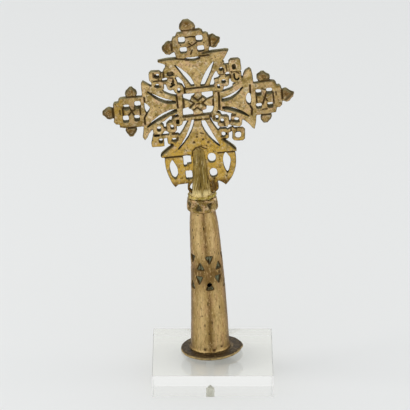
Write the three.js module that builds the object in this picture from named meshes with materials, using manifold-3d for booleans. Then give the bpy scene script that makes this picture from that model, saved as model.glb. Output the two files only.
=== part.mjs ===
import * as THREE from 'three';
import { mergeVertices } from 'three/addons/utils/BufferGeometryUtils.js';
import Module from 'manifold-3d';

// A cast brass hand cross with an openwork head, standing on a clear block.
// Millimetres. The origin is the middle of the block's underside, X to the
// right, Y away from the viewer, Z up.

// Clear block, with a blind drilled hole for the rod.
const BLOCK_SIDE = 101.6;
const BLOCK_HEIGHT = 19.05;
const BLOCK_EDGE = 0.4;
const HOLE_X = -2;
const HOLE_Y = 3.3;
const HOLE_DEPTH = 11.6;
const HOLE_POINT = 3.4;

// Upright rod that the hollow foot stands over.
const ROD_RADIUS = 3.175;
const ROD_SUNK = 11.3;
const ROD_FREE = 118;
const ROD_CHAMFER = 0.5;
const ROD_SIDES = 20;
const HOLE_SIDES = 24;

// Clearances between pieces.
const FIT = 0.3;

// The whole cross leans to the left, and its head was bent a little more.
const LEAN = THREE.MathUtils.degToRad(2.9);
const HEAD_LEAN = THREE.MathUtils.degToRad(5.7);

// Foot flange, a flat ring set a little off the axis of the tube.
const FLANGE_RADIUS = 26;
const FLANGE_THICK = 2.8;
const FLANGE_OFFSET = 1;
const FLANGE_BEVEL = 0.8;
const FLANGE_POINT = 0.9;
const FLANGE_SIDES = 40;

// Tapered socket tube: height and outer radius up the outside.
const TUBE_WALL = 2;
const TUBE_BOTTOM = 0.4;
const TUBE_TOP = 138.6;
const TUBE_SKIRT = 1.3;
const TUBE_PROFILE = [
  [8.6, 16.3], [30.6, 15.5], [56.6, 14.55], [91.6, 13.1], [112.6, 12.2], [120.6, 11.4],
  [126.6, 10.6],
];
const TUBE_BOW = 1.1;
const TUBE_SIDES = 36;

// Two bands of chip-cut triangles round the tube, pointing down and up.
const CHIP_TURNS = 5;
const CHIP_WIDTH = 9.8;
const CHIP_HEIGHT = 9;
const CHIP_DEPTH = 1.55;
const CHIP_SLOPE = 0.8;
const CHIP_ROWS = [
  { height: 86.6, angle: 11, up: false },
  { height: 79.6, angle: -24, up: true },
  { height: 68.6, angle: -30, up: false },
  { height: 62.1, angle: 7, up: true },
];
const PIERCED_RADIUS = 2.1;
const PIERCED_HEIGHT = 63.8;
const PIERCED_ANGLE = 6;

// Chip-cut collar over the top of the tube.
const COLLAR_LAP = 11;
const COLLAR_BOTTOM = TUBE_TOP - COLLAR_LAP;
const COLLAR_TOP = TUBE_TOP + FIT;
const COLLAR_RADIUS = 13.1;
const COLLAR_TOP_RADIUS = 12.3;
const COLLAR_BEVEL = 1.1;
const COLLAR_SIDES = 24;
const COLLAR_CHIPS = 8;
const COLLAR_CHIP_WIDTH = 8.4;
const COLLAR_CHIP_HEIGHT = 8.4;
const COLLAR_CHIP_ANGLE = -14;

// Rough ring of braze between the collar and the neck.
const BRAZE_BOTTOM = COLLAR_TOP + FIT;
const BRAZE_HEIGHT = 3.4;
const BRAZE_TOP = BRAZE_BOTTOM + BRAZE_HEIGHT;
const BRAZE_RADIUS = 11.9;
const BRAZE_LUMP = 0.4;
const BRAZE_SIDES = 36;

// Neck: a plug in the tube with two half-round tongues that clasp the head.
const PLUG_DEPTH = 10;
const PLUG_BOTTOM = TUBE_TOP - PLUG_DEPTH;
const PLUG_RADIUS = 8.1;
const SHOULDER_RADIUS = 10.3;
const SHOULDER_TOP = BRAZE_TOP + 0.4;
const TONGUE_LAP = 6.95;
const TONGUE_BASE_HALF = 9;
const TONGUE_TOP_HALF = 5.6;
const TONGUE_BASE_RISE = 9;
const TONGUE_TOP_RISE = 5.4;
const TONGUE_SHIFT = -0.2;
const GROOVE_WIDTH = 1.1;
const GROOVE_DEPTH = 0.75;

// Openwork head. Its own frame has x to the right and z up its middle line,
// with the middle of the inner cross at the origin.
const LOWER_ARM_FOOT = 45;
const TANG_LENGTH = 78.4;
const TANG_CLEAR = 0.75;
const HEAD_HEIGHT = SHOULDER_TOP + TANG_CLEAR + TANG_LENGTH;
const TONGUE_TOP = HEAD_HEIGHT - LOWER_ARM_FOOT + TONGUE_LAP;
const TONGUE_LENGTH = TONGUE_TOP - SHOULDER_TOP;
const HEAD_SHIFT = 1.3;
const ARM_THICK = 5.8;
const POD_THICK = 5.6;
const LOOP_THICK = 5.2;
const OVER_THICK = 6.5;
const CORE_THICK = 4.6;
const EDGE_BEVEL = 0.55;
const LEAF_BEVEL = 1.3;
const SEAM_WIDTH = 0.9;
const SEAM_DEPTH = 0.8;

const BRASS = '#b0925a';
const NECK_BRASS = '#a08648';
const FLANGE_BRASS = '#6f6048';
const BRAZE_BRASS = '#a8954e';
const ROD_STEEL = '#b9bcbc';
const CLEAR = '#e9efe8';

const wasm = await Module();
wasm.setup();

// Closed triangle mesh to solid and back.
function solidOf(geometry) {
  const bare = new THREE.BufferGeometry();
  const source = geometry.index ? geometry.toNonIndexed() : geometry;
  bare.setAttribute('position', source.getAttribute('position').clone());
  const welded = mergeVertices(bare, 1e-4);
  return new wasm.Manifold(new wasm.Mesh({
    numProp: 3,
    vertProperties: new Float32Array(welded.getAttribute('position').array),
    triVerts: new Uint32Array(welded.index.array),
  }));
}

function geometryOf(solid) {
  const mesh = solid.getMesh();
  const count = mesh.vertProperties.length / mesh.numProp;
  const position = new Float32Array(count * 3);
  for (let i = 0; i < count; i += 1) {
    for (let k = 0; k < 3; k += 1) {
      position[i * 3 + k] = mesh.vertProperties[i * mesh.numProp + k];
    }
  }
  const geometry = new THREE.BufferGeometry();
  geometry.setAttribute('position', new THREE.BufferAttribute(position, 3));
  geometry.setIndex(Array.from(mesh.triVerts));
  geometry.computeVertexNormals();
  return geometry;
}

function joinAll(solids) {
  return solids.reduce((sum, next) => sum.add(next));
}

// Solid turned about Z from [radius, height] points; ends lie on the axis.
function turned(points, sides) {
  const profile = points.map(([r, z]) => new THREE.Vector2(r, z));
  const lathe = new THREE.LatheGeometry(profile, sides);
  lathe.rotateX(Math.PI / 2);
  return solidOf(lathe);
}

// Plan outline in x and z, given thickness along y and centred on y = 0.
function slab(outline, thick, bevel = 0) {
  const shape = new THREE.Shape(outline.map(([x, z]) => new THREE.Vector2(x, z)));
  const body = new THREE.ExtrudeGeometry(shape, {
    depth: thick - 2 * bevel,
    bevelEnabled: bevel > 0,
    bevelThickness: bevel,
    bevelSize: bevel,
    bevelOffset: -bevel,
    bevelSegments: 1,
  });
  body.translate(0, 0, bevel - thick / 2);
  body.rotateX(Math.PI / 2);
  return solidOf(body);
}

// Smooth line through points, with a number of steps between each pair.
function curve(points, steps = 3, closed = false) {
  const spline = new THREE.CatmullRomCurve3(
    points.map(([x, z]) => new THREE.Vector3(x, z, 0)),
    closed,
    'centripetal',
  );
  const spans = closed ? points.length : points.length - 1;
  const line = spline.getPoints(spans * steps).map((p) => [p.x, p.y]);
  return closed ? line.slice(0, -1) : line;
}

// Rounded rectangle about a centre, turned by some degrees.
function roundedBox(cx, cz, halfX, halfZ, corner, turn = 0, steps = 2) {
  const angle = THREE.MathUtils.degToRad(turn);
  const points = [];
  for (let quarter = 0; quarter < 4; quarter += 1) {
    const sx = quarter === 0 || quarter === 3 ? 1 : -1;
    const sz = quarter < 2 ? 1 : -1;
    for (let i = 0; i <= steps; i += 1) {
      const a = (quarter + i / steps) * (Math.PI / 2);
      const x = sx * (halfX - corner) + corner * Math.cos(a);
      const z = sz * (halfZ - corner) + corner * Math.sin(a);
      points.push([
        cx + x * Math.cos(angle) - z * Math.sin(angle),
        cz + x * Math.sin(angle) + z * Math.cos(angle),
      ]);
    }
  }
  return points;
}

// Flat strap of even width along a line of points.
function strap(line, width) {
  const near = [];
  const far = [];
  line.forEach(([x, z], i) => {
    const [ax, az] = line[Math.max(i - 1, 0)];
    const [bx, bz] = line[Math.min(i + 1, line.length - 1)];
    const length = Math.hypot(bx - ax, bz - az);
    const nx = (-(bz - az) / length) * (width / 2);
    const nz = ((bx - ax) / length) * (width / 2);
    near.push([x + nx, z + nz]);
    far.unshift([x - nx, z - nz]);
  });
  return near.concat(far);
}

// Keeps every outline running the same way round.
function wound(outline) {
  let area = 0;
  outline.forEach(([x, z], i) => {
    const [nx, nz] = outline[(i + 1) % outline.length];
    area += x * nz - nx * z;
  });
  return area < 0 ? outline.slice().reverse() : outline;
}

// Each arm is drawn with u outward and v across it (right or up is plus).
const ARM_FRAMES = {
  up: ([u, v]) => [v, u],
  left: ([u, v]) => [-u, v],
  right: ([u, v]) => [u, v],
  down: ([u, v]) => [v, -u],
};

// The wax was shaped by hand, so no two arms are alike. Each flared arm has
// two flanks from the middle frame to its tips, and an outer edge between.
const ARMS = {
  up: {
    plus: [[12, 10], [16.5, 11.6], [21, 13.3], [25.5, 16], [30, 20], [36, 24.2], [40.2, 27.2]],
    edge: [[44, 29.3], [44.6, 26], [44.2, 15], [43.4, 8], [43.2, -8], [41, -15], [41, -22],
      [40.2, -30]],
    minus: [[39, -30], [38, -27.4], [36.6, -24.6], [34, -22], [29, -18], [24.5, -14.2],
      [20, -10.8], [12, -9.2]],
  },
  left: {
    plus: [[15, 8], [20, 8.8], [25, 11], [30, 14], [36.5, 18], [41, 21.4]],
    edge: [[44, 23.6], [45.6, 21.6], [46, 10], [46, -9], [47, -15], [48.9, -25.4]],
    minus: [[47.4, -28], [45.2, -25.8], [43.2, -22.4], [39, -18], [35, -15.6], [29, -12.3],
      [25, -9.3], [20, -8], [15, -7.6]],
  },
  right: {
    plus: [[15, 9], [20, 8.6], [23, 9], [27, 10.2], [31, 12.3], [36, 15.3], [38.4, 17],
      [39, 21], [41.2, 24.6]],
    edge: [[44.6, 26.4], [46.2, 24.4], [46.8, 20], [47, 14], [47, -14], [46.2, -20]],
    minus: [[44.2, -27], [42.6, -25.8], [40.4, -22.4], [37, -19], [32, -15], [27, -11.6],
      [23, -10.2], [15, -7]],
  },
  down: {
    plus: [[10, 8], [13, 8], [17, 9.4], [22, 11.8], [26, 14.2], [33.8, 18.2], [37.6, 22.6],
      [41, 26]],
    edge: [[43.4, 27.6], [45, 27.4], [45.2, -34.4]],
    minus: [[44.6, -35.4], [43, -36], [40.2, -33.6], [37.4, -29.6], [34.8, -25.6], [28, -19.4],
      [20.5, -14.2], [14, -9.8]],
  },
};

// Two curved slots in each arm. The inner end has two corners, the tip is
// narrow, and the two long edges bow by the given amounts towards plus v.
const SLOTS = [
  { arm: 'up', inner: [15.6, -4.45], width: 3, tip: [35.6, -16.3], bows: [0.1, 3] },
  { arm: 'up', inner: [14.9, 3], width: 3.5, tip: [35.4, 16], bows: [-1.8, 0.7] },
  { arm: 'left', inner: [18.2, 1.9], width: 2, tip: [41.2, 14.6], bows: [-4.05, -1.15] },
  { arm: 'left', inner: [18.2, -5.7], width: 2.7, tip: [44.4, -16.8], bows: [0.95, 3.7] },
  { arm: 'right', inner: [19.3, -0.3], width: 2.9, tip: [38.2, 11], bows: [-3.4, -1] },
  { arm: 'right', inner: [19.4, -6.9], width: 2.4, tip: [41, -15.2], bows: [0.9, 2.8] },
  { arm: 'down', inner: [13.8, -7], width: 2, tip: [38.8, -20.8], bows: [1.8, 3] },
  { arm: 'down', inner: [15.3, 0.6], width: 3.4, tip: [39.2, 14.2], bows: [-3.2, -0.3] },
];
const SLOT_TIP = 1;
const SLOT_STEPS = 5;

// Stepped pods beyond three of the arms: body outline, four windows about an
// inner cross (u, v, half u, half v), and a gap between pod and arm.
const PODS = {
  up: {
    body: [[42, 12.6], [48, 13.7], [57.5, 14], [59.8, 13.8], [60.9, 12], [60.7, 9.7],
      [63, 9.2], [64.4, 7], [64, 2], [62.6, -4], [62.5, -11.8], [60.6, -12.9],
      [59.2, -13.4], [58.9, -15.5], [56.5, -16.6], [48.5, -16.3], [45.6, -15], [40, -14.2]],
    windows: [[56.2, -8.4, 2.9, 2.8], [56.5, 6.2, 2.9, 2.8], [47.5, -7.7, 2.7, 2.9],
      [47.6, 6.7, 2.7, 2.9]],
    gap: curve([[40.4, -8.5], [40.8, -1], [40.5, 6], [38.7, 3.4], [37.9, -1.5], [38.6, -5.6]],
      2, true),
  },
  left: {
    body: [[44, 10.2], [52, 10.6], [59.5, 10.8], [64.2, 10.6], [65.8, 9.2], [66, 7.2],
      [69.4, 7], [70.6, 5], [70.8, -5], [71.4, -9.6], [69.6, -11.8], [66.8, -12.2],
      [67, -14.8], [62.5, -15.9], [55, -16.1], [45, -15.6]],
    windows: [[59.75, 2.4, 2.55, 2.45], [50.3, 3.6, 2.6, 3.55], [61.2, -7.85, 2.5, 3.2],
      [51.9, -7.9, 2.3, 2.85]],
    gap: [[44.9, 5.2], [42.4, 3.6], [40.2, 0.4], [41.2, -2.4], [43.6, -5], [44.8, -1.5]],
  },
  right: {
    body: [[45, 12.8], [50, 13.2], [61, 13.8], [64.4, 13.2], [65.6, 11.2], [65.8, 9.2],
      [68, 9.4], [69.4, 7], [69.8, 4], [69.8, -4], [68.8, -8], [66.6, -10],
      [64.6, -9.8], [63.2, -14], [59.8, -14.2], [57, -15.2], [45, -15]],
    windows: [[50.4, 4.5, 2.4, 2.95], [59.3, 5.1, 2.5, 2.75], [49.7, -7.1, 2.4, 2.45],
      [59.1, -7.2, 2.5, 2.55]],
    gap: curve([[43.4, 4.2], [41.6, 5.2], [39.6, 1], [39.9, -3.4], [42, -5.6], [43.4, -4]],
      2, true),
  },
};
const POD_WINDOW_CORNER = 0.9;

// Leaf finials: foot on the pod (u, v), direction in degrees from outward
// towards plus v, length, half width, and how far the tip is set aside.
const LEAVES = [
  { arm: 'up', foot: [61.6, -2.3], turn: 0, length: 11.6, half: 6.8, aside: -1.2 },
  { arm: 'up', foot: [50.8, -15], turn: -90, length: 10.4, half: 5.9, aside: -1.4 },
  { arm: 'up', foot: [53, 13], turn: 90, length: 10, half: 6, aside: 0.2 },
  { arm: 'left', foot: [70, -2.2], turn: 0, length: 10.2, half: 5.4, aside: 0.7 },
  { arm: 'left', foot: [54.9, 9.4], turn: 90, length: 10.2, half: 5.1, aside: 0.4 },
  { arm: 'left', foot: [57.6, -14.6], turn: -90, length: 9.4, half: 5, aside: 0.4 },
  { arm: 'right', foot: [68.3, 0.3], turn: 0, length: 11, half: 6.1, aside: -0.8 },
  { arm: 'right', foot: [55.8, 12.4], turn: 90, length: 10, half: 5.6, aside: 0.9 },
  { arm: 'right', foot: [55.6, -13.4], turn: -90, length: 9.2, half: 4.8, aside: -1.9 },
];
// A leaf's flanks, as shares of its length and of its half width.
const LEAF_SIDE = [[0, 0.72], [0.42, 1], [0.68, 0.86], [0.9, 0.5], [1, 0.3]];
const LEAF_MIDDLE = 0.4;
const LEAF_FACE = 0.68;
const LEAF_SEAM = 1.7;

// Interlaced frame round the middle: four straps whose ends curl round a
// small hole. Each passes over one neighbour and under the next.
const FRAME = {
  top: { line: [[-12.6, 11.6], [-4, 11.7], [5, 11.9], [16.5, 11.5]], width: 4.4,
    curl: [18.1, 12.9], hole: [18.1, 13.6, 1.1, 1.75] },
  right: { line: [[15, 12], [15.2, 4], [14, -5], [12.2, -11.5]], width: 4.2,
    curl: [13.9, -13.5], hole: [14.1, -13.6, 1.2, 2.1] },
  bottom: { line: [[8.2, -12.2], [2, -12.1], [-6, -12.1], [-15.5, -12.8]], width: 3.2,
    curl: [-18.5, -13.9], hole: [-18.6, -14.2, 1.35, 2.05], sunk: true },
  left: { line: [[-16, -12], [-15.3, -4], [-14.8, 3], [-14.8, 11]], width: 4.6,
    curl: [-15, 14.1], hole: [-15, 13.2, 1.2, 2] },
};
const CURL_RADIUS = 4.4;

// Small cross inside the frame: a plate with four windows, and two bands that
// cross it from corner to corner, one over the other.
const CORE_HALF = 13.4;
const CORE_WINDOWS = [
  [[-12.2, 9.4], [-2.6, 9.4], [-2.2, 7.6], [-5.4, 5.6], [-6.2, 3.4], [-7, 2.4], [-12.2, 4.8]],
  [[3.6, 9.6], [12.6, 9.9], [12.6, 5], [11.5, 4.2], [7.5, 2.8], [6, 3.6], [3.4, 6]],
  [[-13.4, -3.6], [-8.6, -2.4], [-8, -4], [-6, -4.6], [-5, -6.4], [-5, -10], [-13.8, -10.3]],
  [[6.6, -2.6], [12.4, -3.6], [12, -6], [10.8, -8.6], [9.4, -10], [3, -10], [2.6, -6.6],
    [4, -5.9], [6, -5.6]],
];
const CORE_BANDS = [
  [[-6.4, 5.4], [5.8, -6]],
  [[-6.4, -4.8], [6.2, 5.2]],
];
const CORE_BAND_WIDTH = 3.4;
const CORE_BAND_PROUD = 0.9;

// Knotted corner lattices. Each is four loops about a small hole. A loop is a
// rounded box, by its middle, half sizes and turn in degrees, or has its own
// outline. A hole is given by its middle and half sizes, and so is a pit, which
// is sunk in the face as a groove is. One loop is bent forward at its lower end.
const LATTICES = {
  upperLeft: {
    hole: [-24.9, 23.4, 1.4, 1.6],
    loops: [
      { at: [-33.2, 26.5], half: [5.3, 4.7], turn: -2, hole: [-31.3, 27.2, 1.5, 2] },
      { at: [-21, 28.2], half: [5.1, 4.8], turn: 0 },
      { at: [-32, 18.4], half: [5.1, 4.6], turn: 0, hole: [-32.3, 18.6, 1.7, 1.8] },
      { at: [-20.3, 18.9], half: [4.8, 5], turn: 14 },
    ],
    links: [[[-36, 20], [-28, 11.4]], [[-29.5, 20.2], [-24, 20.6]], [[-24.4, 33.6], [-18, 33]],
      [[-26.6, 25.6], [-15, 25.6]], [[-29, 24.6], [-24, 31]]],
    pits: [[-33.3, 27.2, 1, 1.8], [-20.7, 28, 2.8, 2], [-19.7, 19.3, 1.2, 1]],
    grooves: [[[-19, 22], [-19, 20.5]], [[-21.5, 16.5], [-18, 18.5]]],
  },
  upperRight: {
    hole: [26.4, 23.5, 1.6, 1.55],
    loops: [
      { at: [33.2, 29.9], half: [5, 5.7], turn: 2 },
      { at: [33.3, 20], half: [4.6, 4.9], turn: 0 },
      { at: [22.4, 27.2], half: [4.7, 4.2], turn: 20, hole: [21.6, 28.2, 1.8, 1.7] },
      { at: [22.6, 17.2], half: [4.6, 4.4], turn: -8, hole: [22.6, 17.2, 1.7, 1.7] },
    ],
    links: [[[36, 15], [30, 11.8]], [[23.8, 34.6], [18, 27]], [[29, 29], [24, 29.6]],
      [[14.8, 18.2], [28, 20.2]], [[23.6, 20], [23, 25]], [[29, 26], [30, 18]],
      [[27.2, 25.8], [27.2, 31.6]]],
    pits: [[32.3, 29.2, 1.5, 2.3]],
    grooves: [[[31.8, 23.6], [31.8, 20], [32.8, 17.7], [34.4, 17.5], [35.6, 19.5]]],
  },
  lowerLeft: {
    hole: [-29.5, -23.3, 1.4, 1.7],
    loops: [
      { outline: [[-40, -23.5], [-34, -23.3], [-31.8, -28], [-31.7, -34.8], [-42, -34.8],
        [-42.6, -31.5]], hole: [-34.3, -29.9, 1.7, 2.1] },
      { at: [-35.3, -19.4], half: [4.7, 4.7], turn: 0, hole: [-34.7, -19.3, 1.7, 2.3] },
      { at: [-24.3, -18.8], half: [4.3, 4.6], turn: 0, hole: [-23.8, -18.5, 1.3, 1.9] },
      { at: [-23.4, -29.6], half: [5.4, 4.7], turn: 0, hole: [-23.1, -30.1, 2, 1.8] },
    ],
    links: [[[-33, -26.6], [-26, -26.6]], [[-32, -20.4], [-26.5, -20.4]],
      [[-24, -16], [-26.2, -13.6]], [[-22, -23.8], [-27, -24.2]], [[-38, -16], [-33, -14]],
      [[-22.8, -12], [-21, -16]], [[-21.9, -7.6], [-21.6, -12]]],
    pits: [[-37.2, -24.9, 2.4, 0.8]],
    grooves: [],
  },
  lowerRight: {
    hole: [23.4, -22.3, 1.3, 1.6],
    loops: [
      { at: [30.4, -29.9], half: [5.3, 5.6], turn: -5, hole: [29.9, -30.2, 2.5, 2.6], bent: 26 },
      { at: [29.9, -17.6], half: [4.9, 4.9], turn: -12, hole: [30, -17.4, 2.2, 2.2] },
      { at: [19, -17.6], half: [5, 4.6], turn: 0, hole: [18.1, -17, 1.4, 2] },
      { at: [18, -28.7], half: [4.3, 4.8], turn: 0, hole: [18, -29, 1.5, 2.4] },
    ],
    links: [[[27, -24], [21.6, -26.6]], [[32, -14], [34.5, -15.2]], [[21, -21.6], [26, -20]],
      [[20, -32], [16.6, -34]], [[25.4, -25.6], [29, -25.6]]],
    pits: [[20.2, -28.7, 1, 0.9]],
    grooves: [],
  },
};
const LINK_WIDTH = 2.8;
const LINK_THICK = 4.2;
const GROOVE_ACROSS = 1.3;
const SUNK_TO = 1;
const LOOP_CORNER = 1.7;
const LOOP_HOLE_CORNER = 0.5;

// Below the lower arm's foot a height is given as its share of the way down from
// there to the tang's foot, so that all that hangs beside the neck keeps its room.
const DROP = TANG_LENGTH - LOWER_ARM_FOOT;
const hung = ([x, share]) => [x, -LOWER_ARM_FOOT - share * DROP];
const hungBox = ([x, share], halfX, halfShare, corner, steps) => (
  roundedBox(...hung([x, share]), halfX, halfShare * DROP, corner, 0, steps)
);

// D-shaped lower loops beside the neck, with leaf windows and small holes.
const LOOP_LEFT = [[-32.6, -0.045], [-33, 0.12], [-32.5, 0.314], [-31, 0.509], [-28.8, 0.707],
  [-26.4, 0.814], [-23.6, 0.751], [-14, 0.737]].map(hung);
const LOOP_RIGHT = [[8, 0.737], [11, 0.754], [13.5, 0.802], [15.7, 0.868], [20.9, 0.695],
  [24.4, 0.497], [26.1, 0.29], [26.3, 0.09], [25.6, -0.045]].map(hung);
const LOWER_WINDOWS = [
  curve([[-26.8, 0.078], [-24.6, 0.186], [-23, 0.35], [-23.3, 0.488], [-25.6, 0.59],
    [-28, 0.53], [-29.3, 0.365], [-29.2, 0.216]].map(hung), 2, true),
  curve([[18, 0.006], [20.3, 0.078], [21.8, 0.207], [20.6, 0.386], [18.2, 0.563],
    [16.3, 0.446], [15.3, 0.281], [15.7, 0.132]].map(hung), 2, true),
  [[-17.5, -0.003], [-11, 0.003], [-11, 0.219], [-14.8, 0.225], [-15.2, 0.281],
    [-17.6, 0.281]].map(hung),
  hungBox([-14.1, 0.512], 2.8, 0.117, 0.9, 2),
  hungBox([6.3, 0.114], 3.3, 0.132, 3.1, 3),
  hungBox([6.4, 0.515], 3.1, 0.126, 2.9, 3),
];
const LOOP_PLATE_THICK = 5.2;

// Tang between the tongues, and the two small lugs beside it.
const TANG = [...[[-11.4, 1], [4.6, 1]].map(hung), [4, -36], [-9.4, -36]];
const LUG_LEFT = [[-12.6, 0.704], [-14.6, 0.778], [-15.6, 0.883], [-13.4, 0.976],
  [-9, 0.976]].map(hung);
const LUG_RIGHT = [[5.4, 0.659], [7.4, 0.749], [8.3, 0.868], [8, 0.94], [5.6, 0.994],
  [0, 0.994]].map(hung);
const LUG_WEB = [[1, 0.958], [7.6, 0.958], [8.3, 0.808], [7.6, 0.629], [1, 0.629]].map(hung);
const LUG_WIDTH = 1.9;

// Engraved seams on the front face.
const SEAMS = [
  { arm: 'up', line: [[39.6, -7.6], [40.5, -14]] },
  { arm: 'up', line: [[41.2, 5.2], [41.4, 12.5]] },
  { arm: 'up', line: [[49.7, -4], [51, 0], [53.3, 3.6]] },
  { arm: 'up', line: [[53.6, -3], [51.5, -1]] },
  { arm: 'up', line: [[58.2, -5], [58.9, -1], [58.4, 3]] },
  { arm: 'up', line: [[47, -0.5], [43.5, -2]] },
  { arm: 'left', line: [[44.2, 6], [44.2, 9.5]] },
  { arm: 'left', line: [[43.3, -4.5], [45.6, -8], [45.8, -13.5]] },
  { arm: 'left', line: [[57, 2.2], [54, -5]] },
  { arm: 'left', line: [[53, 1.6], [56.5, -2.5], [58.5, -4.5]] },
  { arm: 'left', line: [[48.7, -0.2], [48.9, -4.8]] },
  { arm: 'left', line: [[62.8, 1.8], [62.8, -4.2]] },
  { arm: 'right', line: [[43.6, 4.4], [44, 12]] },
  { arm: 'right', line: [[42.5, -6], [43.8, -9], [43, -14]] },
  { arm: 'right', line: [[56.6, 3.6], [55.3, 0], [53, -5.5]] },
  { arm: 'right', line: [[53.4, 1.8], [57, -3.4]] },
  { arm: 'right', line: [[62.3, 4], [62.3, -5.6]] },
  { arm: 'right', line: [[48.3, 1.2], [48.3, -4]] },
  { arm: 'right', line: [[-17.3, 8], [-17.3, -2]] },
  { arm: 'right', line: [[-12.4, 4], [-12.6, -2.8]] },
  { arm: 'right', line: [[17.5, 8], [17.3, 2], [16.4, -7]] },
  { arm: 'right', line: [[12.6, 2], [12.2, -2.8]] },
  { arm: 'right', line: [[-9, 14], [2, 14.1], [14, 14]] },
  { arm: 'right', line: [[-10.2, 10], [-10.2, 16]] },
  { arm: 'right', line: [[-5, -14], [1, -14]] },
  { arm: 'right', line: [[-12.9, -10.6], [-12.8, -14]] },
  { arm: 'right', line: [[12, 9.6], [17, 9.2], [21, 8.9]] },
  { arm: 'down', line: [[45, -32], [45, -18]] },
  { arm: 'down', line: [[45, 12], [45, 26]] },
];

function armOutline(name) {
  const { plus, edge, minus } = ARMS[name];
  const line = curve(plus, 2).concat(curve(edge, 1), curve(minus, 2));
  return wound(line.map(ARM_FRAMES[name]));
}

function slotOutline({ arm, inner, width, tip, bows }) {
  const side = (startV, endV, bow) => {
    const points = [];
    for (let i = 0; i <= SLOT_STEPS; i += 1) {
      const t = i / SLOT_STEPS;
      const u = THREE.MathUtils.lerp(inner[0], tip[0], t);
      const v = THREE.MathUtils.lerp(startV, endV, t) + bow * 4 * t * (1 - t);
      points.push([u, v]);
    }
    return points;
  };
  const low = side(inner[1], tip[1] - SLOT_TIP / 2, bows[0]);
  const high = side(inner[1] + width, tip[1] + SLOT_TIP / 2, bows[1]);
  return low.concat(high.reverse()).map(ARM_FRAMES[arm]);
}

// Plate whose faces are drawn in towards a centre, for wide sloping edges.
function tapered(outline, [cx, cz], layers) {
  const count = outline.length;
  const positions = [];
  const at = ([y, scale], i) => {
    const [x, z] = outline[i % count];
    return [cx + (x - cx) * scale, y, cz + (z - cz) * scale];
  };
  for (let k = 0; k + 1 < layers.length; k += 1) {
    for (let i = 0; i < count; i += 1) {
      const [a, b] = [at(layers[k], i), at(layers[k], i + 1)];
      const [c, d] = [at(layers[k + 1], i + 1), at(layers[k + 1], i)];
      positions.push(...a, ...c, ...b, ...a, ...d, ...c);
    }
  }
  const front = layers[0];
  const back = layers[layers.length - 1];
  for (let i = 0; i < count; i += 1) {
    positions.push(cx, front[0], cz, ...at(front, i), ...at(front, i + 1));
    positions.push(cx, back[0], cz, ...at(back, i + 1), ...at(back, i));
  }
  const plate = new THREE.BufferGeometry();
  plate.setAttribute('position', new THREE.BufferAttribute(new Float32Array(positions), 3));
  return solidOf(plate);
}

function leafOutline({ arm, foot, turn, length, half, aside }) {
  const flank = (sign) => LEAF_SIDE.map(([t, w]) => [t * length, sign * w * half + aside * t]);
  const line = flank(1).concat(flank(-1).reverse());
  const a = THREE.MathUtils.degToRad(turn);
  return wound(line.map(([s, w]) => ARM_FRAMES[arm]([
    foot[0] + s * Math.cos(a) - w * Math.sin(a),
    foot[1] + s * Math.sin(a) + w * Math.cos(a),
  ])));
}

// A leaf is set off from its pod by a cut across its neck.
function leafNeck({ arm, foot, turn, half }) {
  const a = THREE.MathUtils.degToRad(turn);
  const reach = half * LEAF_SIDE[0][1] * 0.8;
  return [reach, -reach].map((across) => ARM_FRAMES[arm]([
    foot[0] + LEAF_SEAM * Math.cos(a) - across * Math.sin(a),
    foot[1] + LEAF_SEAM * Math.sin(a) + across * Math.cos(a),
  ]));
}

function leafSolid(leaf) {
  const a = THREE.MathUtils.degToRad(leaf.turn);
  const reach = leaf.length * LEAF_MIDDLE;
  const centre = ARM_FRAMES[leaf.arm]([
    leaf.foot[0] + reach * Math.cos(a) - leaf.aside * LEAF_MIDDLE * Math.sin(a),
    leaf.foot[1] + reach * Math.sin(a) + leaf.aside * LEAF_MIDDLE * Math.cos(a),
  ]);
  const half = (ARM_THICK - 0.2) / 2;
  return tapered(leafOutline(leaf), centre, [
    [-half, LEAF_FACE], [-half + LEAF_BEVEL, 1], [half - LEAF_BEVEL, 1], [half, LEAF_FACE],
  ]);
}

function podSolid(name) {
  const { body, windows } = PODS[name];
  const frame = ARM_FRAMES[name];
  const plate = slab(wound(body.map(frame)), POD_THICK, EDGE_BEVEL);
  const cuts = windows.map(([u, v, halfU, halfV]) => {
    const [x, z] = frame([u, v]);
    const [halfX, halfZ] = name === 'up' ? [halfV, halfU] : [halfU, halfV];
    const box = roundedBox(x, z, halfX, halfZ, POD_WINDOW_CORNER, 0, 1);
    return slab(wound(box), POD_THICK * 2);
  });
  return plate.subtract(joinAll(cuts));
}

// A shallow V-shaped groove along a line in the front face.
function seamCutters(line, half) {
  const cutters = [];
  for (let i = 0; i + 1 < line.length; i += 1) {
    const [ax, az] = line[i];
    const [bx, bz] = line[i + 1];
    const length = Math.hypot(bx - ax, bz - az) + SEAM_WIDTH * 0.6;
    const reach = SEAM_WIDTH * 1.5;
    const profile = new THREE.Shape([
      new THREE.Vector2(0, -SEAM_DEPTH),
      new THREE.Vector2(reach, -SEAM_DEPTH + (reach * 2 * SEAM_DEPTH) / SEAM_WIDTH),
      new THREE.Vector2(-reach, -SEAM_DEPTH + (reach * 2 * SEAM_DEPTH) / SEAM_WIDTH),
    ]);
    const groove = new THREE.ExtrudeGeometry(profile, { depth: length, bevelEnabled: false });
    groove.translate(0, 0, -length / 2);
    groove.rotateY(Math.PI / 2);
    groove.translate(0, half, 0);
    groove.rotateX(Math.PI);
    groove.rotateY(-Math.atan2(bz - az, bx - ax));
    groove.translate((ax + bx) / 2, 0, (az + bz) / 2);
    cutters.push(solidOf(groove));
  }
  return cutters;
}

// Cutter for an outline, right through or sunk in the front face only.
function cutter(outline, sunk = false) {
  const through = slab(wound(outline), ARM_THICK * 2);
  return sunk ? through.translate([0, SUNK_TO - ARM_THICK, 0]) : through;
}

function holeOutline([x, z, halfX, halfZ], turn = 0) {
  const corner = Math.min(halfX, halfZ) * LOOP_HOLE_CORNER;
  return roundedBox(x, z, halfX, halfZ, corner, turn, 1);
}

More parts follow.
